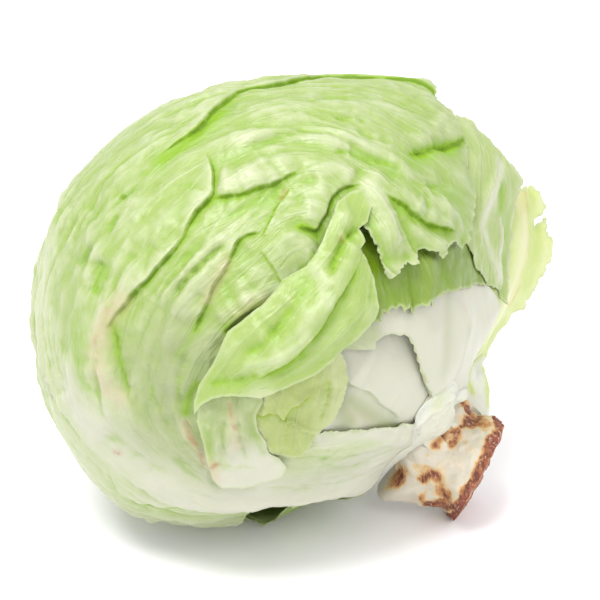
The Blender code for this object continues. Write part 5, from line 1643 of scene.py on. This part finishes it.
class LETTUCE_OT_wrapper_leaf(bpy.types.Operator):
    """Lays the big leaf: from the stem along the ground, round the crown and over the top"""

    bl_idname = "lettuce.wrapper_leaf"
    bl_label = "Big outer leaf"

    def execute(self, context):
        spine = drawn((398, 458), (372, 474), (335, 487), (296, 493), (240, 495), (202, 491), (171, 483),
                      (138, 470))
        skin = leaf_material("wrapper_skin")
        lay_leaf("wrapper_leaf", skin, self.outline(), self.rails(), spacing=1.2, seed=11,
                 folds=self.folds(), ribs=[(spine, 7.0, 3.4)], places=self.places(),
                 middle=seen(150, 280), marks=self.marks(), ragged=0.35, coarse=1.7, teeth=1.0)
        return {"FINISHED"}

    def outline(self):
        upper_margin = drawn((412, 420, -0.4), (398, 422, -0.6), (376, 425, -0.8), (352, 428, -0.8),
                             (338, 428, -0.6), (324, 431, -0.4), (304, 440, 0.0), (285, 448, 0.0),
                             (250, 455, -0.5), (222, 458, -0.5), (216, 446, -0.5), (210, 428, -0.5),
                             (210, 404, -0.5), (218, 384, -0.5), (238, 356, -1.0), (262, 330, -1.5),
                             (288, 306, -1.5), (314, 278, -1.0), (334, 248, -0.5), (345, 218, 0.0),
                             (356, 200, 0.5))
        frilled_margin = drawn((363, 224, 2.5), (371, 238, 3.0), (377, 247, 2.5), (382, 262, 3.0),
                               (387, 275, 4.0), (391, 278, 4.3), (396, 276, 4.2), (400, 270, 3.6),
                               (403, 264, 3.2), (407, 262, 3.4), (412, 264, 3.8), (419, 264, 4.2),
                               (416, 258, 3.6), (419, 251, 3.2), (423, 247, 2.8), (430, 250, 2.8),
                               (437, 252, 3.0), (442, 258, 3.6), (446, 253, 3.4), (446, 247, 2.8),
                               (453, 241, 2.4), (460, 245, 2.8), (466, 248, 3.2), (468, 240, 2.6),
                               (467, 232, 2.2), (474, 228, 2.4), (472, 217, 2.0), (472, 204, 2.0),
                               (470, 182, 2.0), (466, 152, 2.0), (455, 120, 2.0), (434, 98, 2.0))
        back_margin = np.vstack([
            beyond((434, 92, 1), (436, 86, 3), (434, 79, 4), (430, 80, 5), (429, 88, 5), (420, 84, 6)),
            hidden((104, 124, 2.0), (114, 133, 0.5), (122, 134, 2.5), (132, 146, 0.5), (140, 150, 2.5),
                   (144, 168, 0.5), (149, -176, 2.5), (145, -158, 0.5), (146, -140, 2.5), (137, -126, 0.5),
                   (134, -112, 2.5), (122, -102, 0.5), (116, -90, 2.5), (104, -80, 1.0), (96, -68, 2.5)),
        ])
        lower_margin = np.vstack([
            beyond((128, 513, 2), (138, 518, 2), (151, 524, 2), (166, 520, 1), (183, 524, 1), (200, 524, 1),
                   (222, 526, 1), (236, 528, 1), (243, 521, 0)),
            drawn((247, 514, 1.5), (258, 506, 1.0), (272, 502, 0.5), (286, 501, 0.5)),
            beyond((300, 500, 2), (330, 498, 4), (356, 492, 4)),
        ])
        return np.vstack([stem_arc(-72, 18), upper_margin, frilled_margin, back_margin, lower_margin])

    def places(self):
        return np.vstack([
            drawn((120, 180, 1.5), (90, 240, 1.0), (70, 330, 1.5), (95, 420, 1.5), (150, 440, 0.0),
                  (180, 400, 0.0), (160, 340, 0.5), (250, 150, 1.0), (330, 110, 1.5), (400, 130, 1.5),
                  (440, 180, 2.0), (300, 150, 0.5), (260, 240, -0.5), (200, 330, 0.0), (400, 240, 3.0),
                  (370, 205, 3.5), (330, 470, 0.5), (240, 480, 0.5)),
            hidden((130, 180, 1.0), (120, -140, 1.0)),
        ])

    def rails(self):
        return [
            drawn((390, 445), (300, 462), (225, 462), (190, 430), (185, 380), (215, 330), (262, 282),
                  (300, 240)),
            drawn((395, 455), (300, 478), (200, 472), (150, 420), (150, 350), (180, 280), (240, 220),
                  (310, 170), (365, 200), (392, 262)),
            drawn((395, 462), (300, 488), (180, 484), (105, 430), (90, 340), (120, 250), (190, 170),
                  (290, 132), (370, 155), (430, 190), (468, 235)),
            drawn((390, 468), (290, 496), (150, 480), (70, 400), (50, 320), (75, 220), (150, 140),
                  (250, 100), (350, 95), (420, 118), (471, 165)),
            hidden((30, -75), (60, -70), (95, -60), (130, -80), (155, -150), (150, 150), (125, 120),
                   (100, 112), (85, 108)),
            hidden((40, -95), (80, -85), (110, -95), (140, -130), (150, -175), (140, 160), (120, 140),
                   (100, 130)),
        ]

    def folds(self):
        return [
            (lap, drawn((126, 484), (150, 494), (180, 499), (215, 502), (245, 504), (268, 503)), 4.0, 4.5),
            (lap, drawn((146, 170), (158, 160), (198, 131), (223, 108), (244, 96), (274, 91), (318, 83),
                        (352, 73), (375, 77), (400, 87), (434, 98), (452, 108), (466, 120)), 9.0, 4.0),
            (lap, drawn((106, 336), (112, 325), (128, 301), (148, 280), (167, 257), (183, 236), (197, 212),
                        (213, 195), (214, 176), (208, 157), (204, 150)), 7.0, 4.5),
            (lap, drawn((210, 197), (222, 197), (240, 195), (262, 188), (292, 176), (302, 172)), 7.0, 4.0),
            (lap, drawn((190, 336), (200, 318), (207, 300), (212, 287), (222, 272), (232, 252), (240, 238),
                        (255, 233), (268, 230)), 7.0, 4.0),
            (lap, drawn((291, 184), (284, 196), (274, 212), (265, 232), (262, 240)), 6.0, 2.2),
            (lap, drawn((258, 248), (266, 258), (273, 268), (285, 286)), 4.0, 1.8),
            (lap, drawn((222, 334), (240, 320), (262, 304), (270, 296)), 6.0, 3.0),
            (lap, drawn((294, 222), (306, 228), (318, 229), (325, 213), (332, 197), (345, 189),
                        (360, 186)), 7.0, 3.5),
            (lap, drawn((376, 196), (384, 202), (400, 210), (412, 220), (425, 227), (450, 233)), 8.0, 4.5),
            (lap, drawn((420, 264), (407, 250), (395, 227), (386, 206)), 6.0, 2.6),
            (valley, drawn((402, 160), (412, 155), (430, 151), (447, 148), (466, 145)), 3.0, 3.0),
            (valley, drawn((328, 158), (345, 155), (364, 159), (396, 172)), 2.6, 1.8),
            (ridge, drawn((356, 172), (372, 195), (382, 222), (391, 262)), 5.0, 2.6),
            (ridge, drawn((222, 160), (224, 182), (240, 184), (270, 172)), 6.0, 1.6),
            (ridge, drawn((318, 150), (345, 140), (375, 146), (400, 162)), 6.0, 1.6),
            (ridge, drawn((405, 143), (432, 140), (458, 133)), 6.0, 1.6),
            (ridge, drawn((388, 190), (410, 203), (436, 218), (458, 222)), 5.0, 1.6),
            (ridge, drawn((310, 184), (335, 172), (356, 182)), 5.0, 1.8),
            (ridge, drawn((366, 168), (380, 170), (394, 167), (408, 186), (430, 196)), 3.0, 1.0),
            (valley, drawn((398, 184), (420, 190), (446, 188)), 2.4, 1.2),
            (ridge, drawn((426, 133), (434, 126), (441, 119)), 2.0, 0.9),
            (valley, drawn((352, 130), (368, 140), (392, 146)), 2.4, 1.0),
            (ridge, drawn((236, 130), (290, 114), (350, 112), (410, 118)), 8.0, 1.6),
            (valley, drawn((300, 108), (330, 102), (352, 106)), 3.0, 1.2),
            (valley, drawn((332, 124), (352, 122), (366, 128)), 2.0, 1.0),
            (ridge, drawn((125, 196), (128, 200)), 4.0, -2.2),
            (ridge, drawn((113, 222), (118, 227)), 3.5, -1.8),
            (ridge, drawn((84, 253), (90, 262)), 4.0, -1.8),
            (valley, drawn((104, 258), (99, 274), (96, 296)), 3.0, 1.6),
            (ridge, drawn((118, 288), (104, 318), (98, 350), (104, 386)), 5.0, 2.2),
            (valley, drawn((112, 318), (117, 346), (124, 386), (136, 410)), 3.0, 1.8),
            (ridge, drawn((150, 190), (128, 236), (108, 276)), 8.0, 1.6),
            (ridge, drawn((108, 190), (84, 240), (70, 300)), 6.0, -1.2),
            (ridge, drawn((70, 345), (84, 400), (112, 440)), 7.0, 1.6),
            (valley, drawn((160, 330), (150, 370), (158, 410), (180, 440)), 4.0, 1.0),
            (ridge, drawn((182, 320), (168, 356), (170, 396)), 6.0, 1.4),
            (valley, drawn((190, 350), (178, 380), (182, 420)), 3.0, 1.2),
            (ridge, drawn((210, 470), (170, 462), (130, 445), (98, 420)), 8.0, -1.6),
            (lap, drawn((112, 462), (124, 481), (140, 490), (165, 496), (200, 499), (235, 502), (262, 503),
                        (280, 501)), 4.0, 2.4),
        ]

    def marks(self):
        return [
            ("white", drawn((296, 452), (350, 450), (400, 438)), 7.0, 0.3),
            ("white", drawn((398, 452), (335, 478), (240, 486), (171, 474), (120, 446),
                            (84, 400)), 20.0, 1.0),
            ("white", drawn((100, 470), (62, 400), (44, 330), (50, 260)), 13.0, 0.6),
            ("white", drawn((52, 330), (52, 260), (84, 180), (140, 122), (215, 96)), 9.0, 0.35),
            ("white", drawn((258, 512), (200, 516), (150, 512), (110, 480)), 14.0, 0.7),
            ("white", drawn((412, 424), (370, 430), (320, 436)), 5.0, 0.9),
            ("fresh", drawn((376, 200), (400, 235), (440, 235), (462, 215)), 12.0, 0.35),
            ("fresh", drawn((172, 300), (168, 350), (178, 390), (192, 430)), 15.0, 0.5),
            ("fresh", drawn((222, 330), (204, 360), (196, 395)), 8.0, 0.5),
            ("fresh", drawn((120, 330), (136, 380), (150, 420)), 8.0, 0.35),
            ("fresh", drawn((84, 330), (96, 376)), 8.0, 0.35),
            # Painted shade: deep green in valleys and under laps.
            ("deep", drawn((160, 165), (182, 150), (200, 137), (225, 116)), 3.6, 1.4),
            ("deep", drawn((146, 176), (160, 168)), 2.0, 0.8),
            ("deep", drawn((78, 330), (84, 352), (92, 384)), 3.4, 0.7),
            ("deep", drawn((88, 262), (84, 256)), 2.4, 0.9),
            ("deep", drawn((116, 222), (113, 226)), 1.8, 0.9),
            ("deep", drawn((120, 240), (112, 262), (100, 290)), 4.0, 0.4),
            ("deep", drawn((60, 232), (66, 214), (74, 198)), 3.0, 0.5),
            ("deep", drawn((196, 178), (186, 204), (170, 228)), 3.0, 0.35),
            ("deep", drawn((262, 192), (238, 199), (218, 200)), 2.2, 0.6),
            ("deep", drawn((398, 170), (420, 161), (452, 153)), 3.2, 0.9),
            ("deep", drawn((364, 162), (380, 172), (396, 176)), 3.0, 0.6),
            ("deep", drawn((404, 196), (430, 200), (456, 196)), 4.0, 0.5),
            ("deep", drawn((388, 204), (408, 219), (430, 229)), 2.6, 0.7),
            ("deep", drawn((370, 206), (378, 232), (384, 256)), 3.0, 0.5),
            ("deep", drawn((330, 198), (322, 222), (316, 240)), 2.6, 0.5),
            ("deep", drawn((234, 262), (222, 286), (214, 306)), 3.4, 0.5),
            ("deep", drawn((225, 112), (250, 99), (290, 91)), 1.5, 0.6),
            ("deep", drawn((200, 324), (188, 340), (176, 356)), 3.0, 1.0),
            ("deep", drawn((180, 336), (164, 358), (154, 384), (148, 412)), 2.4, 0.7),
            ("deep", drawn((154, 332), (162, 350)), 3.0, 0.6),
            ("deep", drawn((112, 322), (118, 342), (124, 362)), 2.6, 0.7),
            ("deep", drawn((206, 352), (184, 386), (172, 420)), 2.0, 0.6),
            ("deep", drawn((88, 340), (96, 366), (104, 392)), 2.4, 0.5),
            ("deep", drawn((204, 330), (190, 372), (188, 396)), 3.0, 0.5),
            ("deep", drawn((238, 208), (252, 204), (268, 196)), 3.5, 0.6),
            ("deep", drawn((124, 197), (129, 200)), 2.0, 0.8),
            ("deep", drawn((184, 416), (186, 400), (192, 388)), 3.0, 1.3),
            ("deep", drawn((262, 304), (246, 314), (232, 326)), 2.4, 1.3),
            ("deep", drawn((300, 226), (312, 232), (318, 236)), 2.4, 1.0),
            # Painted shade: dark lines along creases.
            ("crease", drawn((140, 493), (170, 500), (210, 504), (250, 506)), 1.2, 0.5),
            ("crease", drawn((164, 163), (182, 149), (200, 136), (224, 114)), 2.2, 0.75),
            ("crease", drawn((250, 97), (290, 89), (330, 81), (356, 76)), 1.0, 0.7),
            ("crease", drawn((396, 86), (414, 91), (433, 99)), 1.2, 0.8),
            ("crease", drawn((114, 326), (118, 346), (122, 362)), 1.6, 0.5),
            ("crease", drawn((198, 322), (190, 340), (178, 354)), 1.8, 0.5),
            ("crease", drawn((226, 330), (242, 318), (258, 306)), 1.8, 1.0),
            ("crease", drawn((186, 414), (188, 398), (196, 384)), 1.4, 0.9),
            ("crease", drawn((412, 160), (436, 152), (460, 147)), 1.4, 0.6),
            ("crease", drawn((124, 197), (130, 200)), 1.4, 0.7),
            ("crease", drawn((302, 226), (312, 230), (318, 236)), 1.2, 1.0),
            ("crease", drawn((314, 252), (310, 262), (300, 269)), 1.2, 0.9),
            ("crease", drawn((165, 346), (156, 372), (150, 400)), 0.6, 0.45),
            ("crease", drawn((176, 352), (164, 384), (160, 412)), 0.5, 0.4),
            ("crease", drawn((192, 352), (180, 384), (174, 414)), 0.5, 0.45),
            # Painted shade: dull green on the shaded lower left and under the rib.
            ("painted_shade", drawn((178, 348), (168, 380), (166, 410)), 16.0, 0.85),
            ("painted_shade", drawn((150, 440), (180, 450), (200, 462)), 14.0, 0.6),
            ("painted_shade", drawn((130, 352), (146, 392)), 10.0, 0.6),
            ("painted_shade", drawn((204, 336), (192, 384)), 8.0, 0.6),
            ("painted_shade", drawn((76, 250), (70, 320), (84, 400)), 9.0, 0.25),
            ("painted_shade", drawn((350, 465), (300, 478)), 9.0, 0.35),
            ("painted_shade", drawn((260, 503), (320, 496), (380, 480)), 4.5, 0.5),
            ("painted_shade", drawn((130, 500), (190, 512), (240, 512)), 8.0, 0.35),
            ("rust", drawn((186, 424), (190, 436), (198, 450), (203, 464)), 0.8, 0.7),
            ("rust", drawn((286, 188), (282, 196)), 0.6, 0.9),
            ("rust", drawn((112, 309), (111, 306)), 1.2, 0.35),
            ("rust", drawn((102, 337), (101, 340)), 1.2, 0.35),
            ("rust", drawn((117, 450), (121, 450)), 1.0, 0.9),
            ("rust", drawn((327, 448), (329, 448)), 0.6, 0.8),
            ("blush", drawn((124, 300), (108, 322), (102, 350), (108, 384), (120, 398)), 3.6, 0.5),
            ("blush", drawn((228, 262), (216, 282), (208, 300)), 2.0, 0.45),
            ("blush", drawn((240, 316), (262, 300)), 3.0, 0.35),
            ("blush", drawn((184, 424), (196, 452), (206, 464)), 2.0, 0.35),
        ]


class LETTUCE_OT_lobes(bpy.types.Operator):
    """Lays the frilled lobe, the torn lobe and the long lobe folded back over them"""

    bl_idname = "lettuce.lobes"
    bl_label = "Lobes"

    def execute(self, context):
        self.frilly()
        self.torn()
        self.folded()
        return {"FINISHED"}

    def frilly(self):
        outline = drawn((250, 412, 1.0), (256, 426, 1.5), (264, 440, 1.5), (270, 453, 2.0), (281, 455, 1.2),
                        (292, 459, 2.2), (301, 456, 1.5), (311, 443, 1.5), (320, 430, 1.0), (332, 421, 0.5),
                        (338, 412, 0.0), (344, 398, 0.0), (348, 380, 0.0), (346, 362, 0.0), (338, 346, 0.0),
                        (318, 356, 1.0), (290, 370, 1.0), (262, 384, 1.0), (246, 396, 1.0))
        folds = [
            (lap, drawn((252, 413), (257, 411), (262, 414), (268, 411), (274, 412), (278, 413), (284, 420),
                        (288, 412), (292, 405), (299, 403), (312, 392)), 7.0, 2.4),
            (ridge, drawn((306, 385), (312, 408), (306, 436)), 3.5, 1.2),
            (valley, drawn((328, 378), (328, 400), (318, 424)), 3.0, 1.2),
            (valley, drawn((296, 408), (288, 428), (284, 446)), 2.6, 1.0),
        ]
        rails = [
            drawn((272, 380), (262, 410), (268, 448)),
            drawn((300, 372), (296, 410), (292, 452)),
            drawn((336, 356), (334, 390), (316, 430)),
        ]
        marks = [
            ("white", drawn((344, 360), (344, 395), (330, 420)), 7.0, 0.9),
            # Painted shade: dull green where the lobe lies in shade.
            ("painted_shade", drawn((276, 430), (300, 432), (312, 410)), 10.0, 0.45),
            ("rust", drawn((257, 428), (262, 440), (268, 452)), 0.7, 0.7),
        ]
        skin = leaf_material("frilly_skin", freshness=0.25, cast=(0.38, 0.42, 0.12), share=0.35)
        lay_leaf("frilly_leaf", skin, outline, rails, spacing=0.8, seed=12, folds=folds,
                 green=(-20, 15), tint=0.1, marks=marks, ragged=0.4, ruffle=0.5, wrinkle=0.5, teeth=0.6)

    def torn(self):
        outline = drawn((206, 398, 1.0), (199, 408, 1.5), (197, 421, 1.5), (200, 436, 2.0), (204, 450, 2.0),
                        (208, 467, 2.5), (213, 480, 3.5), (222, 488, 4.0), (243, 489, 4.0), (264, 483, 3.5),
                        (280, 477, 3.0), (287, 468, 3.0), (279, 459, 2.5), (269, 454, 2.5), (266, 443, 2.5),
                        (258, 431, 2.5), (256, 416, 2.5), (262, 402, 2.5), (262, 388, 1.5), (236, 384, 1.5),
                        (214, 388, 1.0))
        folds = [
            (ridge, drawn((232, 402), (230, 430), (236, 465)), 2.4, 1.4),
            (ridge, drawn((240, 402), (246, 430), (262, 462)), 1.6, 0.8),
            (ridge, drawn((226, 402), (218, 430), (216, 460)), 1.6, 0.8),
            (ridge, drawn((250, 402), (254, 430), (270, 458)), 2.5, -1.0),
            (ridge, drawn((214, 405), (208, 430), (212, 460)), 2.5, -1.0),
            (valley, drawn((226, 412), (224, 430), (226, 452)), 1.2, 0.8),
            (valley, drawn((238, 408), (240, 430), (248, 456)), 1.2, 0.8),
        ]
        rails = [
            drawn((206, 395), (202, 430), (214, 475)),
            drawn((232, 392), (230, 430), (240, 480)),
            drawn((256, 390), (254, 430), (280, 470)),
        ]
        marks = [
            ("white", drawn((214, 480), (244, 474), (284, 468)), 9.0, 1.6),
            ("white", drawn((236, 446), (262, 456)), 8.0, 1.2),
            # Painted shade: dull green where the lobe lies in shade.
            ("painted_shade", drawn((246, 410), (244, 440)), 4.0, 0.5),
            ("painted_shade", drawn((222, 410), (226, 446)), 4.0, 0.5),
            ("fresh", drawn((204, 400), (202, 424), (206, 446)), 4.0, 1.0),
            ("fresh", drawn((250, 404), (254, 424)), 3.0, 0.8),
            ("fresh", drawn((224, 424), (226, 440)), 1.4, 0.7),
            ("rust", drawn((210, 464), (218, 458)), 1.0, 0.8),
            ("rust", drawn((230, 402), (236, 424)), 0.6, 0.5),
            ("blush", drawn((206, 456), (216, 470)), 2.6, 0.7),
            ("blush", drawn((232, 402), (238, 440)), 1.8, 0.4),
            ("blush", drawn((212, 482), (240, 488), (280, 476)), 1.0, 0.5),
        ]
        skin = leaf_material("torn_skin")
        lay_leaf("torn_lobe", skin, outline, rails, spacing=0.7, seed=13, folds=folds,
                 green=(-20, 15), tint=0.1, marks=marks, ragged=0.4, ruffle=0.25, wrinkle=0.5)

    def folded(self):
        outline = drawn((362, 190, 2.0), (350, 192, 2.5), (337, 202, 3.0), (332, 216, 3.0), (325, 233, 3.0),
                        (316, 253, 3.0), (306, 266, 3.0), (294, 273, 3.0), (283, 279, 3.0), (265, 302, 3.5),
                        (246, 317, 3.5), (228, 331, 3.5), (218, 354, 3.5), (210, 368, 3.5), (199, 385, 3.0),
                        (194, 402, 3.0), (194, 415, 3.0), (200, 406, 4.0), (212, 399, 4.5), (232, 396, 5.5),
                        (260, 398, 6.0), (295, 383, 6.5), (319, 372, 6.5), (339, 354, 6.5), (358, 337, 6.5),
                        (375, 319, 6.5), (379, 307, 6.5), (378, 293, 6.0), (374, 276, 5.5), (368, 260, 5.0),
                        (360, 249, 4.5), (366, 241, 4.5), (360, 228, 4.5), (367, 222, 4.0), (370, 208, 3.0))
        places = drawn((345, 215, 5.0), (330, 260, 7.0), (300, 300, 8.0), (350, 300, 9.5), (335, 335, 8.5),
                       (260, 340, 7.5), (290, 360, 8.0), (235, 375, 5.5))
        folds = [
            (valley, drawn((362, 226), (347, 238), (334, 256), (320, 280)), 2.2, 2.6),
            (lap, drawn((252, 372), (262, 368), (285, 355), (303, 340), (316, 325), (327, 303), (340, 285),
                        (352, 264)), 6.0, 3.2),
            (ridge, drawn((345, 205), (334, 235), (316, 262), (300, 280)), 4.0, 1.8),
            (ridge, drawn((314, 272), (318, 292), (306, 318), (284, 344), (256, 362),
                          (226, 372)), 4.4, 2.0),
            (ridge, drawn((296, 276), (270, 310), (244, 338), (218, 366)), 4.0, 1.4),
            (ridge, drawn((352, 240), (344, 262), (330, 284), (318, 296)), 3.0, 1.3),
            (ridge, drawn((366, 285), (352, 318), (320, 350), (275, 380)), 6.0, 1.2),
            (valley, drawn((310, 276), (298, 298), (280, 322), (258, 344), (236, 358)), 3.4, 1.5),
            (valley, drawn((262, 366), (244, 374), (222, 378), (208, 380)), 3.0, 1.4),
            (valley, drawn((352, 330), (334, 346), (304, 364), (276, 376)), 2.4, 0.8),
            (valley, drawn((364, 250), (366, 280), (358, 308)), 2.4, 0.7),
        ]
        rails = [
            drawn((350, 196), (322, 250), (262, 306), (220, 360), (197, 405)),
            drawn((360, 205), (345, 250), (300, 310), (250, 360), (205, 400)),
            drawn((368, 225), (372, 290), (340, 345), (290, 378), (240, 394)),
        ]
        marks = [
            # Painted shade: deep green in the valleys.
            ("deep", drawn((214, 378), (236, 378), (256, 372)), 2.4, 0.7),
            ("deep", drawn((362, 226), (350, 232), (338, 248), (326, 266)), 1.2, 0.9),
            ("deep", drawn((302, 288), (296, 296)), 2.0, 0.7),
            ("deep", drawn((284, 322), (270, 334), (256, 342)), 2.4, 0.7),
            ("deep", drawn((350, 270), (338, 290), (320, 316), (300, 342), (268, 364)), 1.6, 0.8),
            ("deep", drawn((300, 350), (284, 362)), 3.0, 0.5),
            ("white", drawn((252, 384), (268, 388)), 4.0, 0.8),
            ("white", drawn((308, 266), (316, 288), (322, 300)), 2.4, 0.7),
            ("white", drawn((372, 290), (362, 318), (340, 345)), 4.0, 0.5),
            ("white", drawn((300, 330), (276, 352), (246, 366)), 3.0, 0.4),
            ("white", drawn((262, 306), (236, 330), (220, 352)), 3.0, 0.35),
            ("rust", drawn((337, 241), (338, 243)), 0.7, 0.7),
        ]
        skin = leaf_material("folded_skin", freshness=0.2, cast=(0.28, 0.38, 0.09), share=0.2)
        lay_leaf("folded_lobe", skin, outline, rails, spacing=0.8, seed=14, folds=folds,
                 places=places, green=(-40, 10), tint=0.12, marks=marks, ragged=0.25, ruffle=0.25,
                 wrinkle=0.6)


# The stage, in metres: half the floor's side, each soft lamp's place and width, and what the camera sees.
HALF_FLOOR = 3.0
KEY_PLACE, KEY_WIDTH = (-0.25, -0.5, 1.35), 0.8
FILL_PLACE, FILL_WIDTH = (0.9, -0.9, 0.9), 0.9
NEAREST_SEEN, FURTHEST_SEEN = 0.01, 20.0


class LETTUCE_OT_stage(bpy.types.Operator):
    """Makes the floor, the soft studio light and the camera"""

    bl_idname = "lettuce.stage"
    bl_label = "Stage"

    def execute(self, context):
        stage = context.scene.stage_settings
        self.floor(stage)
        self.sky(context, stage)
        self.light("key", KEY_PLACE, KEY_WIDTH, stage.key)
        self.light("fill", FILL_PLACE, FILL_WIDTH, stage.fill)
        self.camera(context)
        context.scene.view_settings.view_transform = "Standard"
        return {"FINISHED"}

    def floor(self, stage):
        corners = [(-1, -1, 0), (1, -1, 0), (1, 1, 0), (-1, 1, 0)]
        made = mesh_object("floor", HALF_FLOOR * np.array(corners), np.array([[0, 1, 2, 3]]))
        paint = Paint("floor_paper")
        body = paint.nodes.new("ShaderNodeTexCoord").outputs["Object"]
        grain = paint.noise(body, 300.0)
        paint.shader.inputs["Base Color"].default_value = tuple(stage.floor) + (1.0,)
        paint.plug(paint.shader.inputs["Roughness"], paint.between(grain, 0.3, 0.7, 0.85, 0.95))
        paint.shader.inputs["Specular IOR Level"].default_value = 0.2
        made.data.materials.append(paint.material)
        made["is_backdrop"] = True

    def sky(self, context, stage):
        world = bpy.data.worlds.new("studio")
        world.use_nodes = True
        background = world.node_tree.nodes["Background"]
        background.inputs["Color"].default_value = (1.0, 1.0, 1.0, 1.0)
        background.inputs["Strength"].default_value = stage.sky
        context.scene.world = world

    def light(self, name, place, width, power):
        lamp = bpy.data.lights.new(name, "AREA")
        lamp.shape = "DISK"
        lamp.size = width
        lamp.energy = power
        made = bpy.data.objects.new(name, lamp)
        made.location = place
        aim = Vector((0.0, 0.0, HEAD_CENTRE_HEIGHT * MM)) - Vector(place)
        made.rotation_mode = "QUATERNION"
        made.rotation_quaternion = aim.to_track_quat("-Z", "Y")
        bpy.context.scene.collection.objects.link(made)

    def camera(self, context):
        camera = bpy.data.cameras.new("camera")
        camera.sensor_width = SENSOR
        camera.lens = SENSOR * VIEW_DISTANCE / (PHOTO_SIDE * MM_PER_POINT)
        camera.clip_start, camera.clip_end = NEAREST_SEEN, FURTHEST_SEEN
        made = bpy.data.objects.new("camera", camera)
        made.location = Vector(EYE * MM)
        made.rotation_mode = "QUATERNION"
        made.rotation_quaternion = Vector(-BACK).to_track_quat("-Z", "Y")
        context.scene.collection.objects.link(made)
        context.scene.camera = made


OPERATORS = (
    LETTUCE_OT_heart, LETTUCE_OT_back_leaves, LETTUCE_OT_under_leaf, LETTUCE_OT_right_leaves,
    LETTUCE_OT_opening_leaves, LETTUCE_OT_side_leaf, LETTUCE_OT_wrapper_leaf, LETTUCE_OT_lobes,
    LETTUCE_OT_stem, LETTUCE_OT_stage,
)


class LETTUCE_PT_panel(bpy.types.Panel):
    bl_label = "Iceberg lettuce"
    bl_space_type = "VIEW_3D"
    bl_region_type = "UI"
    bl_category = "Lettuce"

    def draw(self, context):
        for group in (context.scene.leaf_sizes, context.scene.lettuce_colours, context.scene.stage_settings):
            for name in type(group).__annotations__:
                self.layout.prop(group, name)
        for operator in OPERATORS:
            self.layout.operator(operator.bl_idname)


GROUPS = (LeafSizes, LettuceColours, StageSettings)


def register():
    for made in GROUPS + OPERATORS + (LETTUCE_PT_panel,):
        bpy.utils.register_class(made)
    bpy.types.Scene.leaf_sizes = bpy.props.PointerProperty(type=LeafSizes)
    bpy.types.Scene.lettuce_colours = bpy.props.PointerProperty(type=LettuceColours)
    bpy.types.Scene.stage_settings = bpy.props.PointerProperty(type=StageSettings)


def unregister():
    del bpy.types.Scene.stage_settings
    del bpy.types.Scene.lettuce_colours
    del bpy.types.Scene.leaf_sizes
    for made in reversed(GROUPS + OPERATORS + (LETTUCE_PT_panel,)):
        bpy.utils.unregister_class(made)


def main():
    register()
    bpy.ops.lettuce.heart()
    bpy.ops.lettuce.back_leaves()
    bpy.ops.lettuce.under_leaf()
    bpy.ops.lettuce.right_leaves()
    bpy.ops.lettuce.opening_leaves()
    bpy.ops.lettuce.side_leaf()
    bpy.ops.lettuce.wrapper_leaf()
    bpy.ops.lettuce.lobes()
    bpy.ops.lettuce.stem()
    bpy.ops.lettuce.stage()


if __name__ == "__main__":
    main()
